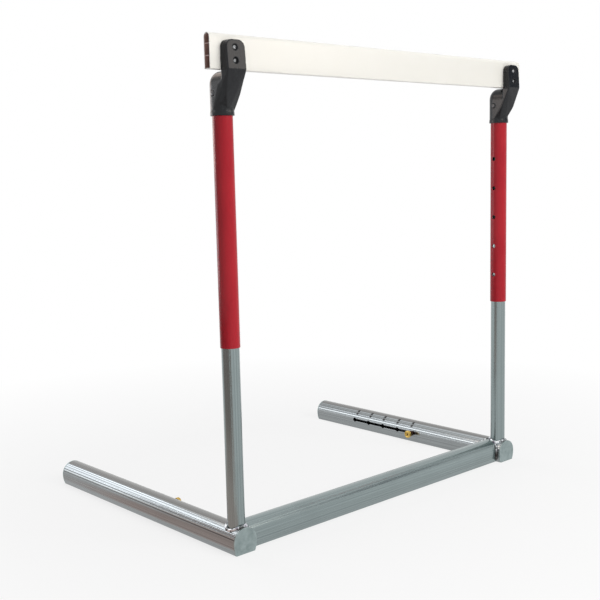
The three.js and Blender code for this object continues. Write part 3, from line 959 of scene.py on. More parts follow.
def resampled(points: Sequence[Vector], count: int) -> list[Vector]:
    """Spaces points evenly along a line of points.

    Args:
        points: The line.
        count: Number of points wanted.

    Returns:
        The new points, from the line's start to its end.
    """
    lengths = [0.0]
    for a, b in zip(points, points[1:]):
        lengths.append(lengths[-1] + (b - a).length)
    targets = np.linspace(0, lengths[-1], count)
    columns = [np.interp(targets, lengths, [p[i] for p in points]) for i in range(3)]
    return [Vector(row) for row in zip(*columns)]


def packed_shell(node: str) -> Shell:
    """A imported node's shape as a shell, its faces joined up.

    Args:
        node: Name of the node.

    Returns:
        The shell.
    """
    shell = bmesh.new()
    shell.from_mesh(frame["nodes"][node].data)
    bmesh.ops.remove_doubles(shell, verts=shell.verts, dist=WELD_WITHIN)
    return shell


def eased(node: str, radius: float, angle: float = EASE_ABOVE) -> Object:
    """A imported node's shape with its sharp edges eased, which stands for the node.

    Args:
        node: Name of the node.
        radius: Size of the eased edge.
        angle: Edges that fold more than this many degrees are eased.

    Returns:
        The new object.
    """
    shell = packed_shell(node)
    bmesh.ops.dissolve_limit(shell, angle_limit=math.radians(FLAT_BELOW), verts=shell.verts,
                             edges=shell.edges)
    piece = new_piece(f"{node}_finished", shell, angle)
    bevel = piece.modifiers.new("eased_edges", "BEVEL")
    bevel.limit_method = "ANGLE"
    bevel.angle_limit = math.radians(angle)
    bevel.width = radius
    bevel.segments = 2
    bevel.use_clamp_overlap = False
    bevel.harden_normals = True
    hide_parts(node)
    return piece


def remoulded(node: str, voxel: float, rounds: int) -> Object:
    """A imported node's shape as one moulded skin with soft corners, which stands for the node.

    Args:
        node: Name of the node.
        voxel: Size of the skin's faces.
        rounds: How often the skin is relaxed, which sets how round the corners are.

    Returns:
        The new object.
    """
    piece = new_piece(f"{node}_moulded", packed_shell(node), 180)
    remesh = piece.modifiers.new("skin", "REMESH")
    remesh.mode = "VOXEL"
    remesh.voxel_size = voxel
    remesh.use_smooth_shade = True
    relax = piece.modifiers.new("soft_corners", "SMOOTH")
    relax.factor = 0.5
    relax.iterations = rounds
    settle(piece)
    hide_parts(node)
    return piece


def settle(piece: Object) -> None:
    """Applies every modifier of a piece to its mesh.

    Args:
        piece: The piece.
    """
    graph = bpy.context.evaluated_depsgraph_get()
    graph.update()
    final = bpy.data.meshes.new_from_object(piece.evaluated_get(graph))
    piece.modifiers.clear()
    old = piece.data
    piece.data = final
    final.name = piece.name
    bpy.data.meshes.remove(old)


def cut(piece: Object, tool: Object) -> None:
    """Cuts a tool's shape out of a piece and removes the tool.

    Args:
        piece: The piece.
        tool: The tool.
    """
    removal = piece.modifiers.new("cut", "BOOLEAN")
    removal.operation = "DIFFERENCE"
    removal.solver = "EXACT"
    removal.object = tool
    settle(piece)
    bpy.data.objects.remove(tool)


def dressed(piece: Object, material: Material, body: str) -> None:
    """Gives a new piece its finish and its body, and reports it.

    Args:
        piece: The piece.
        material: Its finish.
        body: Name of the body that it rides on.
    """
    piece.data.materials.clear()
    piece.data.materials.append(material)
    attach(piece, body)
    LOG.info("%s: %d faces on %s", piece.name, len(piece.data.polygons), body)


# Sub-assemblies


@dataclass
class Base:
    """Legs, end plates, crossbar, uprights and the beads that join them.

    A bead's outset, rise, clearance, lift, ripple and wander are shares of its radius, and mark_fray is a
    share of the marks' pitch. Angles are in radians and wander_rates in radians per metre.
    """

    section_radius: float = 31 * MM
    section_centre: float = 25.5 * MM
    foot_half_width: float = 25.2 * MM
    upright_radius: float = 19 * MM
    crossbar_setback: float = 12 * MM
    eased_edge: float = 0.45 * MM
    bead_radius: float = 3.9 * MM
    bead_outset: float = 0.45
    bead_rise: float = 0.1
    corner_clearance: float = 1.2
    corner_lift: float = 1.3
    bead_ripple: float = 0.2
    ripple_middle: float = 0.6
    bead_wander: float = 0.12
    wander_rates: tuple[float, float] = (70, 110)
    ripple_pitch: float = 3.4 * MM
    bead_steps: int = 150
    bead_sides: int = 14
    bead_smooth: float = 60
    flank_steps: int = 6
    crown_steps: int = 24
    upright_seed: int = 10
    corner_seed: int = 20
    first_mark: float = 289.5 * MM
    mark_pitch: float = 55.4 * MM
    mark_count: int = 5
    mark_width: float = 8 * MM
    mark_near: float = 11.5 * MM
    mark_far: float = 25.2 * MM
    # Middle of the band across the marks where they fade out as painted highlight.
    mark_highlight_gap: float = 20.6 * MM
    mark_fray: float = 0.006
    mark_soft: float = 0.3 * MM
    mark_foot: float = 1 * MM
    # Half-width and fade of the band where the marks fade out as painted highlight.
    highlight_gap_half: float = 0.7 * MM
    highlight_gap_fade: float = 1 * MM
    ridge_angle: float = 1.134
    flutes: tuple[float, float] = (0.73, 0.22)
    leg_light: Colour = (0.34, 0.362, 0.367)
    leg_dark: Colour = (0.222, 0.238, 0.243)
    # Angle from the top over which the legs' crowns get painted shade.
    crown_shade_angle: float = 0.42
    crossbar_seams: tuple[float, float] = (2.42, -2.74)
    materials: dict[str, Material] = field(default_factory=dict)

    def leg_marks(self, side: Side) -> Callable[[Recipe], Socket]:
        """The painted setting marks on a leg's shoulder, faded across their middle as painted highlight.

        Args:
            side: Half of the hurdle that the leg belongs to.

        Returns:
            A function that adds the marks' mask to a recipe.
        """
        axis = side.axis()

        def mask(recipe: Recipe) -> Socket:
            """Adds the mask.

            Args:
                recipe: The material under construction.

            Returns:
                Socket with 1 on a mark.
            """
            x, y, z = recipe.axes()
            inward = recipe.times(recipe.minus(x, axis.x), float(side.inward))
            back = recipe.minus(y, axis.y)
            row = recipe.sum("DIVIDE", recipe.minus(back, self.first_mark), self.mark_pitch)
            off = recipe.sum("ABSOLUTE", recipe.minus(row, recipe.sum("ROUND", row)))
            off = recipe.mixed_in(recipe.noise(recipe.place, 900, 2, 0.6), self.mark_fray, off)
            half = self.mark_width / 2 / self.mark_pitch
            on_line = recipe.spread(off, half, half + self.mark_fray, 1, 0)
            in_row = recipe.gap(row, (self.mark_count - 1) / 2, self.mark_count / 2, 0.01)
            middle = (self.mark_near + self.mark_far) / 2
            half_length = (self.mark_far - self.mark_near) / 2
            in_reach = recipe.gap(inward, middle, half_length, self.mark_soft)
            outside = recipe.spread(z, self.section_centre, self.section_centre + self.mark_foot)
            whole = recipe.times(recipe.times(on_line, in_row), in_reach)
            # Painted highlight: the marks fade out in a band across their middle.
            rubbed = recipe.gap(inward, self.mark_highlight_gap, self.highlight_gap_half, self.highlight_gap_fade)
            return recipe.times(recipe.times(whole, outside), recipe.mixed_in(rubbed, -0.75, 1.0))

        return mask

    def prepare(self) -> None:
        """Makes the finishes that the base uses."""
        hollow = self.section_radius
        for side in Side:
            axis = side.axis()
            self.materials[side.node("leg_tube")] = ExtrudedAluminium(
                side.node("leg_aluminium"), Run.BACK, (axis.x, self.section_centre),
                light=self.leg_light, dark=self.leg_dark, ridges=(self.ridge_angle,),
                flutes=self.flutes, crown_shade_angle=self.crown_shade_angle, hollow=hollow,
                marks=self.leg_marks(side)).material()
            self.materials[side.node("upright_tube")] = ExtrudedAluminium(
                side.node("upright_aluminium"), Run.UP, (axis.x, axis.y), lines=20).material()
        middle = Side.LEFT.axis().y + self.crossbar_setback
        self.materials["base_crossbar"] = ExtrudedAluminium(
            "crossbar_aluminium", Run.ACROSS, (middle, self.section_centre), hollow=hollow,
            seams=self.crossbar_seams).material()
        plate = SawnPlate("plate_aluminium").material()
        for side in Side:
            for name in ("leg_front_plate", "leg_rear_plate"):
                self.materials[side.node(name)] = plate

    def crown(self, offset: float) -> float:
        """Height of a base tube's top at a distance from its middle plane."""
        inside = max(self.section_radius ** 2 - offset ** 2, 0)
        return self.section_centre + math.sqrt(inside)

    def ripple(self, seed: int) -> Callable[[float], float]:
        """Radius of a bead along its run, with the marks of each puddle.

        Args:
            seed: Number that makes each bead its own.

        Returns:
            A function from distance to radius.
        """
        chance = random.Random(seed)
        phase = chance.uniform(0, math.tau)
        slow = chance.uniform(*self.wander_rates)

        def radius(distance: float) -> float:
            """Radius at one place.

            Args:
                distance: Distance along the bead.

            Returns:
                The radius.
            """
            puddle = abs(math.sin(math.pi * distance / self.ripple_pitch + phase))
            wander = math.sin(distance * slow + phase)
            share = 1 + self.bead_ripple * (puddle - self.ripple_middle) + self.bead_wander * wander
            return self.bead_radius * share

        return radius

    def upright_bead(self, side: Side, seed: int) -> Object:
        """The bead round an upright's foot.

        Args:
            side: Half of the hurdle.
            seed: Number that makes the bead its own.

        Returns:
            The bead.
        """
        reach = self.upright_radius + self.bead_radius * self.bead_outset
        path = []
        for i in range(self.bead_steps):
            angle = math.tau * i / self.bead_steps
            x, y = reach * math.cos(angle), reach * math.sin(angle)
            height = self.crown(x)
            if x > 0:
                height = max(height, self.crown(y - self.crossbar_setback))
            path.append(side.at(x, y, height + self.bead_radius * self.bead_rise))
        shell = swept(path, self.ripple(seed), self.bead_sides, True)
        return stand_in(side.node("upright_bead"), side.node("upright_weld"), shell, self.bead_smooth)

    def corner_bead(self, side: Side, behind: bool, seed: int) -> Object:
        """The bead in the corner between crossbar and leg, from the foot up to the upright's bead.

        Args:
            side: Half of the hurdle.
            behind: Whether the bead lies behind the crossbar or in front of it.
            seed: Number that makes the bead its own.

        Returns:
            The bead.
        """
        back = 1 if behind else -1
        place = "rear" if behind else "front"
        radius, centre = self.section_radius, self.section_centre
        shares = [i / self.flank_steps for i in range(self.flank_steps)]
        outline = [(radius - (radius - self.foot_half_width) * (1 - s) ** 2, centre * s) for s in shares]
        outline += [(radius * math.cos(a), centre + radius * math.sin(a))
                    for a in np.linspace(0, math.pi / 2, self.crown_steps)]
        clear = self.upright_radius + self.bead_radius * self.corner_clearance
        points = [side.at(x, self.crossbar_setback + back * x, z) for x, z in outline
                  if math.hypot(x, self.crossbar_setback + back * x) > clear]
        points = [p for p in points if p.z > self.bead_radius * self.corner_lift]
        path = resampled(points, self.bead_steps // 2)
        shell = swept(path, self.ripple(seed), self.bead_sides)
        return stand_in(side.node(f"corner_bead_{place}"), side.node(f"crossbar_{place}_weld"), shell,
                        self.bead_smooth)

    def build(self) -> None:
        """Builds and dresses the base."""
        self.prepare()
        for node, material in self.materials.items():
            dressed(eased(node, self.eased_edge), material, "base")
        weld = WeldBead("weld_aluminium").material()
        for number, side in enumerate(Side):
            dressed(self.upright_bead(side, self.upright_seed + number), weld, "base")
            for behind in (False, True):
                bead = self.corner_bead(side, behind, self.corner_seed + 2 * number + behind)
                dressed(bead, weld, "base")


@dataclass
class HeightLock:
    """Snap button and leaf spring inside an upright.

    The nose runs between two angles in radians, and the spring's fold is in degrees.
    """

    side: Side
    metals: dict[str, Material]
    shaft_share: float = 0.745
    flange: float = 1.5 * MM
    chamfer: float = 0.3 * MM
    dome: float = 2.4 * MM
    nose_from: float = 0.1
    nose_to: float = math.pi / 2 - 0.05
    nose_steps: int = 9
    button_sides: int = 40
    spring_edge: float = 0.15 * MM
    spring_fold: float = 40

    def button(self) -> Object:
        """The snap button: a flange, a straight shaft and a domed nose.

        Returns:
            The button.
        """
        node = self.side.node("snap_button")
        low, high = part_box(node)
        radius = (high.z - low.z) / 2
        foot = low.x - high.x
        shaft = radius * self.shaft_share
        profile = [(0, foot), (radius - self.chamfer, foot), (radius, foot + self.chamfer),
                   (radius, foot + self.flange), (shaft, foot + self.flange), (shaft, -self.dome)]
        profile += [(shaft * math.cos(a), self.dome * math.sin(a) - self.dome)
                    for a in np.linspace(self.nose_from, self.nose_to, self.nose_steps)]
        profile.append((0, 0))
        shell = turned(profile, self.side.tip("snap_button"), (self.side.inward, 0, 0), self.button_sides)
        return stand_in(f"{node}_turned", node, shell)

    def build(self) -> None:
        """Builds and dresses the lock."""
        dressed(self.button(), self.metals["steel"], self.side.node("button"))
        spring = eased(self.side.node("snap_spring"), self.spring_edge, self.spring_fold)
        dressed(spring, self.metals["spring"], "base")


@dataclass
class Gate:
    """Board, brackets, sleeves and their fastenings, which move as one.

    Angles are in radians, and head_dome and head_rim are shares of a bolt head's height.
    """

    metals: dict[str, Material]
    board_wall: float = 1.8 * MM
    board_thickness: float = 18 * MM
    board_edge: float = 0.15 * MM
    board_slack: float = 0.05 * MM
    sleeve_bore: float = 19.45 * MM
    sleeve_edge: float = 0.35 * MM
    hole_radius: float = 5 * MM
    hole_count: int = 5
    bracket_skin: float = 0.95 * MM
    bracket_rounds: int = 7
    nut_edge: float = 0.25 * MM
    head_radius: float = 4.75 * MM
    head_height: float = 2.8 * MM
    head_from: float = 0.12
    head_bend: float = 1.25
    head_dome: float = 0.82
    head_rim: float = 0.9
    bolt_radius: float = 2.5 * MM
    bolt_chamfer: float = 0.5 * MM
    bolt_sides: int = 48
    socket_width: float = 3 * MM
    socket_depth: float = 1.6 * MM
    socket_lead: float = 1 * MM
    socket_tip: float = 0.5 * MM
    rivet_head: float = 5.5 * MM
    rivet_rise: float = 2.4 * MM
    rivet_rim: float = 0.4 * MM
    rivet_chamfer: float = 0.1 * MM
    rivet_radius: float = 3 * MM
    rivet_bend: float = math.pi / 2 - 0.06
    rivet_sides: int = 40
    dome_steps: int = 9

    def sleeve_finish(self, side: Side) -> Material:
        """The powder coat of one sleeve, with its wear at rim and holes.

        Args:
            side: Half of the hurdle.

        Returns:
            The material.
        """
        low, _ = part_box(side.node("sleeve"))
        axis = side.axis()
        joint = next(j for j in frame["joints"] if j["name"] == "gate_height")
        pitch = -joint["range_m"][0] / (self.hole_count - 1)
        first = side.tip("snap_button").z
        holes = tuple(first + pitch * i for i in range(self.hole_count))
        return PowderCoat(side.node("sleeve_red"), (axis.x, axis.y), low.z, holes,
                          self.hole_radius, self.sleeve_bore, side.inward).material()

    def bolt(self, node: str) -> Object:
        """A board bolt with a domed head and a hexagon socket.

        Args:
            node: Name of the bolt's node.

        Returns:
            The bolt.
        """
        low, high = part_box(node)
        face = Vector(((low.x + high.x) / 2, low.y, (low.z + high.z) / 2))
        rim, top, length = self.head_radius, self.head_height, high.y - low.y
        shaft, chamfer = self.bolt_radius, self.bolt_chamfer
        rise = top * self.head_dome / (1 - math.cos(self.head_bend))
        profile = [(0, 0)]
        profile += [(rim * math.sin(a), rise * (1 - math.cos(a)))
                    for a in np.linspace(self.head_from, self.head_bend, self.dome_steps)]
        profile += [(rim, top * self.head_rim), (rim, top), (shaft, top), (shaft, length - chamfer),
                    (shaft - chamfer, length), (0, length)]
        bolt = new_piece(f"{node}_domed", turned(profile, face, (0, 1, 0), self.bolt_sides))
        corner, deep, lead = self.socket_width / math.sqrt(3), self.socket_depth, self.socket_lead
        hexagon = [(0, -lead), (corner, -lead), (corner, deep), (0, deep + self.socket_tip)]
        cut(bolt, new_piece("hexagon", turned(hexagon, face, (0, 1, 0), 6)))
        smooth(bolt.data, SMOOTH_BELOW)
        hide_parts(node)
        return bolt

    def rivet(self, node: str) -> Object:
        """The rivet through bracket and sleeve, with two low domes.

        Args:
            node: Name of the rivet's node.

        Returns:
            The rivet.
        """
        low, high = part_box(node)
        half = (high.x - low.x) / 2
        seat = half - self.rivet_rise
        dome = self.rivet_rise - self.rivet_rim
        cap = [(self.rivet_head * math.cos(a), seat + self.rivet_rim + dome * math.sin(a))
               for a in np.linspace(0, self.rivet_bend, self.dome_steps)]
        end = [(self.rivet_radius, seat), (self.rivet_head - self.rivet_chamfer, seat), *cap, (0, half)]
        profile = [(r, -p) for r, p in reversed(end)] + end
        shell = turned(profile, (low + high) / 2, (1, 0, 0), self.rivet_sides)
        return stand_in(f"{node}_domed", node, shell)

    def build(self) -> None:
        """Builds and dresses the gate."""
        low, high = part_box("gate_board")
        half_inside = self.board_thickness / 2 - self.board_wall + self.board_slack
        plastic = BoardPlastic("board_plastic", (low.y + high.y) / 2, low.z, high.z,
                               self.board_wall, half_inside).material()
        dressed(eased("gate_board", self.board_edge), plastic, "gate")
        moulding = MouldedNylon("bracket_nylon").material()
        steel = self.metals["steel"]
        for side in Side:
            sleeve = eased(side.node("sleeve"), self.sleeve_edge)
            dressed(sleeve, self.sleeve_finish(side), "gate")
            bracket = remoulded(side.node("bracket"), self.bracket_skin, self.bracket_rounds)
            dressed(bracket, moulding, "gate")
            for place in ("lower", "upper"):
                dressed(self.bolt(side.node(f"board_bolt_{place}")), steel, "gate")
                nut = eased(side.node(f"board_nut_{place}"), self.nut_edge)
                dressed(nut, steel, "gate")
            rivet = self.rivet(side.node("bracket_rivet"))
            dressed(rivet, self.metals["blacked"], "gate")


@dataclass
class Counterweight:
    """Sliding weight in a leg, with its plunger, spring and knob."""

    side: Side
    metals: dict[str, Material]
    weight_edge: float = 0.6 * MM
    bush_edge: float = 0.25 * MM
    pin_edge: float = 0.2 * MM
    collar_edge: float = 0.5 * MM
    knob_dish_radius: float = 6.6 * MM
    knob_dish_depth: float = 1.4 * MM
    knob_hole_radius: float = 3.4 * MM
    knob_hole_depth: float = 3.2 * MM
    knob_hole_tip: float = 2 * MM
    knob_round: float = 1.5 * MM
    knob_lip: float = 0.2 * MM
    knob_chamfer: float = 0.25 * MM
    round_steps: int = 8
    flute_count: int = 20
    flute_depth: float = 0.4 * MM
    flute_skin: float = 0.3 * MM
    flute_margin: float = 1.2 * MM
    flute_steps: int = 6
    knob_smooth: float = 40
    wire_radius: float = 0.5 * MM
    wire_sides: int = 10
    wire_smooth: float = 60
    spring_turns: int = 6
    turn_steps: int = 28
    plunger_pull: float = 5 * MM

    def knob_profile(self, radius: float, length: float) -> Profile:
        """Outline of the knob, from the bottom of its hole over face and rims to its back.

        Args:
            radius: Radius of the knob.
            length: Length of the knob.

        Returns:
            Pairs of radius and place along the axis.
        """
        dish, deep, edge, lip = self.knob_dish_radius, self.knob_dish_depth, self.knob_round, self.knob_lip
        hole, floor = self.knob_hole_radius, -self.knob_hole_depth
        angles = np.linspace(0, math.pi / 2, self.round_steps)
        return [(0, floor - self.knob_hole_tip), (hole - lip, floor), (hole, floor + 2 * lip), (hole, -deep),
                (dish - 4 * lip, -deep), (dish - lip, -deep + 2 * lip), (dish, -lip),
                (dish + self.knob_chamfer, 0),
                *((radius - edge + edge * math.sin(a), -edge + edge * math.cos(a)) for a in angles),
                (radius, -edge - 2 * lip), (radius, -length + edge + 2 * lip),
                *((radius - edge + edge * math.cos(a), -length + edge - edge * math.sin(a)) for a in angles),
                (0, -length)]

    def knob(self) -> Object:
        """The round knob with a dished face, rounded rims and fine flutes.

        Returns:
            The knob.
        """
        node = self.side.node("plunger_knob")
        low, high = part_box(node)
        radius, length = (high.y - low.y) / 2, high.x - low.x
        face = self.side.tip("plunger_knob")
        shell = turned(self.knob_profile(radius, length), face, (self.side.inward, 0, 0),
                       self.flute_count * self.flute_steps)
        for vert in shell.verts:
            offset = vert.co - face
            off_axis = Vector((0, offset.y, offset.z))
            along = -offset.x * self.side.inward
            inside = self.flute_margin < along < length - self.flute_margin
            if inside and off_axis.length > radius - self.flute_skin:
                wave = math.cos(self.flute_count * math.atan2(offset.z, offset.y))
                vert.co -= off_axis.normalized() * (self.flute_depth * (0.5 + 0.5 * wave))
        return stand_in(f"{node}_turned", node, shell, self.knob_smooth)

    def coil(self) -> Object:
        """The coil spring round the plunger's shaft.

        Returns:
            The coil.
        """
        node = self.side.node("plunger_spring")
        low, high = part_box(node)
        middle = (low + high) / 2
        radius = (high.y - low.y) / 2 - self.wire_radius
        half = (high.x - low.x) / 2 - self.wire_radius
        steps = self.spring_turns * self.turn_steps
        path = []
        for i in range(steps + 1):
            angle = math.tau * self.spring_turns * i / steps
            path.append(middle + Vector((half * (2 * i / steps - 1), radius * math.cos(angle),
                                         radius * math.sin(angle))))
        shell = swept(path, lambda _: self.wire_radius, self.wire_sides)
        coil = stand_in(f"{node}_coil", node, shell, self.wire_smooth)
        self.side.node("plunger_pull")
        tuple(self.side.tip("plunger_spring"))
        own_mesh(coil)
        return coil

    def build(self) -> None:
        """Builds and dresses the counterweight."""
        # The weight's near-black finish is mill scale and painted shade in the leg's slot.
        for piece, edge, metal, body, slot in (
                ("counterweight", self.weight_edge, "scale_and_shade", "weight", "weight_steel"),
                ("plunger_bush", self.bush_edge, "steel", "weight", "zinc_steel"),
                ("plunger_pin", self.pin_edge, "browned", "plunger", "zinc_steel"),
                ("plunger_collar", self.collar_edge, "dark_brass", "plunger", "dark_brass")):
            dressed(eased(self.side.node(piece), edge), self.metals[metal], self.side.node(body))
        dressed(self.coil(), self.metals["spring"], self.side.node("weight"))
        dressed(self.knob(), self.metals["brass"], self.side.node("plunger"))


# Studio


@dataclass(frozen=True)
class Lamp:
    """A soft rectangular lamp, itself out of sight. A mirrored one shows in reflections only."""

    name: str
    place: Point
    target: Point
    size: tuple[float, float]
    power: float
    colour: Colour = (1, 1, 1)
    mirrored: bool = False

    def hang(self) -> None:
        """Hangs the lamp and points it at its target."""
        data = bpy.data.lights.new(self.name, "AREA")
        data.shape = "RECTANGLE"
        data.size, data.size_y = self.size
        data.energy = self.power
        data.color = self.colour
        lamp = bpy.data.objects.new(self.name, data)
        bpy.context.scene.collection.objects.link(lamp)
        lamp.location = self.place
        way = Vector(self.target) - Vector(self.place)
        lamp.rotation_euler = way.to_track_quat("-Z", "Y").to_euler()
        lamp.visible_camera = False
        lamp.visible_glossy = self.mirrored
        lamp.visible_diffuse = not self.mirrored


LAMPS = (
    Lamp("front_softbox", (0.25, -3.2, 2.0), (0.1, -0.3, 0.65), (2.4, 2.0), 67, (1, 0.99, 0.955)),
    Lamp("overhead_softbox", (0.3, -0.1, 3.4), (0.1, 0, 0), (2.6, 2.6), 30, (0.98, 0.99, 1)),
    Lamp("rear_fill", (0, 3.2, 1.7), (0, 0, 0.6), (2.4, 1.8), 27, (1, 0.99, 0.97)),
    Lamp("rear_softbox", (-0.93, 1.26, 0.77), (-0.1, -0.1, 0.3), (1.05, 0.85), 5.2, (0.93, 0.95, 1), True),
    Lamp("tall_strip", (-1.02, 0.9, 0.9), (0, -0.3, 0.9), (0.05, 0.9), 0.5, mirrored=True),
    Lamp("dome_glow", (-0.45, 0.38, 1.54), (0, -0.33, 0.98), (0.5, 0.4), 1.5, (1, 0.8, 0.68), True),
    Lamp("side_glow", (-1.0, 0.14, 1.17), (-0.49, -0.37, 1.03), (0.35, 0.25), 0.4, (0.96, 0.97, 1), True),
    Lamp("socket_glow", (-0.49, 0.44, 1.0), (0.44, -0.32, 0.94), (0.3, 0.4), 0.9, (1, 0.78, 0.64), True),
    Lamp("front_wand", (-0.29, -1.1, 1.12), (-0.48, -0.36, 1.0), (0.04, 0.28), 0.4, mirrored=True),
    Lamp("paddle_glow", (0.25, -1.13, 1.3), (-0.46, -0.37, 1.03), (0.5, 0.45), 2.2, (1, 0.91, 0.82), True),
)


@dataclass
class Studio:
    """Pale floor, white surroundings, soft lamps, cards for reflections and the camera."""

    floor_size: float = 60.0
    floor_colour: Colour = (0.92, 0.92, 0.92)
    floor_mottle: Colour = (0.89, 0.89, 0.89)
    clear_from: float = 0.5
    clear_to: float = 1.7
    clear_least: float = 0.76
    ambient: Colour = (0.175, 0.175, 0.185)
    dark_card: Colour = (0.1, 0.12, 0.15)
    brown_card: Colour = (0.72, 0.58, 0.535)
    brown_fade: float = 0.55
    brown_fade_from: float = 0.02
    brown_fade_to: float = 0.2
    card_line: Colour = (0.95, 1, 1)
    card_line_place: float = -0.585
    card_line_half: float = 0.02
    card_far: Colour = (0.9, 0.9, 0.9)
    card_far_from: float = 0.1
    card_far_to: float = 0.5
    camera_place: tuple[float, float, float] = (-1.70630, -1.57621, 0.79116)
    camera_forward: tuple[float, float, float] = (0.66378, 0.73534, -0.13663)
    camera_roll: float = -1.4295
    lens: float = 58.937
    sensor: float = 36.0
    shift: tuple[float, float] = (0.01163, 0.01520)

    def behind_lens(self, tree: bpy.types.NodeTree) -> Socket:
        """Finds the rays that show the background: straight, mirrored and through glass.

        Args:
            tree: Tree that the nodes are added to.

        Returns:
            Socket with 1 for these rays.
        """
        path = tree.nodes.new("ShaderNodeLightPath")
        total = path.outputs["Is Camera Ray"]
        for name in ("Is Glossy Ray", "Is Transmission Ray"):
            join = tree.nodes.new("ShaderNodeMath")
            join.operation = "MAXIMUM"
            tree.links.new(total, join.inputs[0])
            tree.links.new(path.outputs[name], join.inputs[1])
            total = join.outputs[0]
        return total

    def surroundings(self) -> None:
        """White to the eye and in reflections, a plain grey as light."""
        world = bpy.data.worlds.new("studio_air")
        bpy.context.scene.world = world
        world.use_nodes = True
        tree = world.node_tree
        tree.nodes.clear()
        output = tree.nodes.new("ShaderNodeOutputWorld")
        choice = tree.nodes.new("ShaderNodeMixShader")
        tree.links.new(self.behind_lens(tree), choice.inputs[0])
        for entry, colour in ((1, self.ambient), (2, (1, 1, 1))):
            light = tree.nodes.new("ShaderNodeBackground")
            light.inputs["Color"].default_value = (*colour, 1)
            tree.links.new(light.outputs[0], choice.inputs[entry])
        tree.links.new(choice.outputs[0], output.inputs["Surface"])

    def floor(self) -> None:
        """A pale floor that turns into the white surroundings away from the hurdle."""
        recipe = Recipe("floor_paint")
        x, y, _ = recipe.axes()
        clear = recipe.spread(recipe.span(x, y), self.clear_from, self.clear_to, self.clear_least, 1)
        mottle = recipe.spread(recipe.noise(recipe.place, 30, 3, 0.6), 0.3, 0.7, 0, 0.15)
        colour = recipe.blend(mottle, self.floor_colour, self.floor_mottle)
        recipe.dress(Base_Color=colour, Roughness=0.9, Specular_IOR_Level=0.1)
        glow = recipe.add("ShaderNodeEmission", Color=(1, 1, 1))
        choice = recipe.add("ShaderNodeMixShader")
        sources = (recipe.times(clear, self.behind_lens(recipe.tree)), recipe.surface.outputs[0],
                   glow.outputs[0])
        for source, target in zip(sources, choice.inputs):
            recipe.wire(source, target)
        recipe.wire(choice.outputs[0], recipe.output.inputs["Surface"])
        half = self.floor_size / 2
        sheet("floor", [(-half, -half, 0), (half, -half, 0), (half, half, 0), (-half, half, 0)],
              recipe.material)

    def hang_cards(self, recipe: Recipe, tone: object, cards: dict[str, Sequence[Point]]) -> None:
        """Hangs glowing cards, which only mirror-like surfaces see.

        Args:
            recipe: Their material, still without a surface of its own.
            tone: Colour of their glow.
            cards: Corners of each card, by name.
        """
        glow = recipe.add("ShaderNodeEmission", Color=tone)
        recipe.wire(glow.outputs[0], recipe.output.inputs["Surface"])
        for name, corners in cards.items():
            card = sheet(name, corners, recipe.material)
            card.visible_camera = card.visible_diffuse = card.visible_shadow = False
            card.visible_transmission = card.visible_volume_scatter = False

    def cards(self) -> None:
        """Hangs a dark card on the right and graded brown ones beside and under the left leg."""
        first, second, low, high = (1.43, -0.70), (1.11, -1.16), 1.0, 1.45
        self.hang_cards(Recipe("right_flag_cloth"), self.dark_card, {
            "right_flag": [(*first, low), (*second, low), (*second, high), (*first, high)]})
        left, right, top, above_floor = -0.82, -0.5, 0.45, 1 * MM
        near, floor_near, far = -0.8, -0.67, 0.6
        recipe = Recipe("flag_cloth")
        _, y, z = recipe.axes()
        faded = tuple(c * self.brown_fade for c in self.brown_card)
        height = recipe.spread(z, self.brown_fade_from, self.brown_fade_to)
        tone = recipe.blend(height, self.brown_card, faded)
        line = recipe.gap(y, self.card_line_place, self.card_line_half, self.card_line_half)
        tone = recipe.blend(line, tone, self.card_line)
        tone = recipe.blend(recipe.spread(y, self.card_far_from, self.card_far_to), tone, self.card_far)
        self.hang_cards(recipe, tone, {
            "upright_flag": [(left, near, 0), (left, far, 0), (left, far, top), (left, near, top)],
            "floor_flag": [(left, floor_near, above_floor), (right, floor_near, above_floor),
                           (right, far, above_floor), (left, far, above_floor)]})

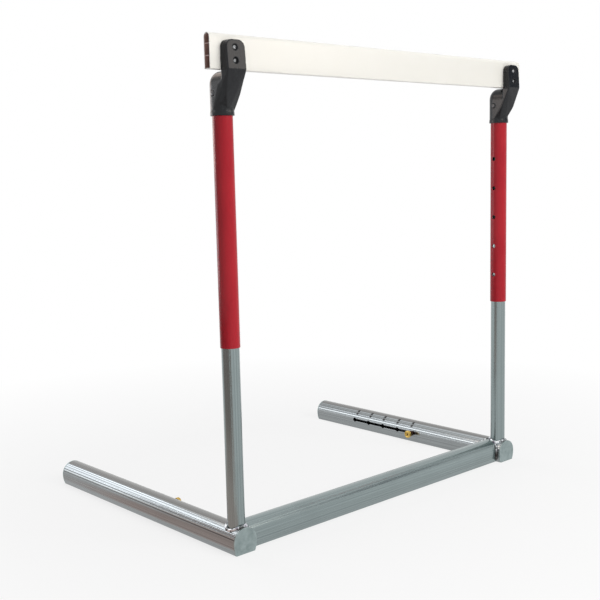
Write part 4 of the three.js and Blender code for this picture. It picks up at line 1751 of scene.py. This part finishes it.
    def camera(self) -> None:
        """Sets the camera at the photograph's viewing angle."""
        data = bpy.data.cameras.new("camera")
        data.sensor_width = self.sensor
        data.sensor_fit = "HORIZONTAL"
        data.lens = self.lens
        data.shift_x, data.shift_y = self.shift
        data.clip_end = 200
        camera = bpy.data.objects.new("camera", data)
        bpy.context.scene.collection.objects.link(camera)
        bpy.context.scene.camera = camera
        forward = Vector(self.camera_forward).normalized()
        level = forward.cross(Vector((0, 0, 1))).normalized()
        upright = level.cross(forward)
        roll = math.radians(self.camera_roll)
        right = level * math.cos(roll) + upright * math.sin(roll)
        up = right.cross(forward)
        place = Vector(self.camera_place) + Vector((0, Side.LEFT.axis().y, 0))
        turn = Matrix((right, up, -forward)).transposed().to_4x4()
        camera.matrix_world = Matrix.Translation(place) @ turn

    def build(self) -> None:
        """Sets up the studio."""
        bpy.context.scene.view_settings.view_transform = "Standard"
        self.surroundings()
        self.floor()
        for lamp in LAMPS:
            lamp.hang()
        self.cards()
        self.camera()


# Whole scene


SMALL_METALS = {
    "steel": SmallMetal("zinc_plate", (0.4, 0.41, 0.42), (0.2, 0.2, 0.2), 0.14, 0.3),
    "spring": SmallMetal("spring_steel", (0.42, 0.42, 0.43), (0.22, 0.22, 0.23)),
    "browned": SmallMetal("browned_steel", (0.11, 0.04, 0.028), (0.05, 0.024, 0.02), 0.3, 0.5),
    "blacked": SmallMetal("blacked_steel", (0.09, 0.09, 0.095), (0.05, 0.048, 0.046), 0.25, 0.4),
    # Near-black steel: mill scale, and painted shade that keeps the leg's slot dark over the weight.
    "scale_and_shade": SmallMetal("scale_and_shade_steel", (0.03, 0.031, 0.035), (0.015, 0.015, 0.017), 0.45, 0.7, 60,
                       (300, 40, 300)),
    "brass": SmallMetal("turned_brass", (0.66, 0.46, 0.12), (0.36, 0.22, 0.05), 0.12, 0.26, 260,
                        (1500, 300, 300)),
    # Dark brown brass for the collar.
    "dark_brass": SmallMetal("dark_brown_brass", (0.1, 0.05, 0.03), (0.045, 0.025, 0.018), 0.25, 0.45),
}


def main() -> None:
    """Builds the studio and dresses every sub-assembly."""
    logging.basicConfig(level=logging.INFO, format="%(name)s: %(message)s")
    Studio().build()
    metals = {key: finish.material() for key, finish in SMALL_METALS.items()}
    Base().build()
    Gate(metals).build()
    for side in Side:
        HeightLock(side, metals).build()
        Counterweight(side, metals).build()


if __name__ == "__main__":
    main()
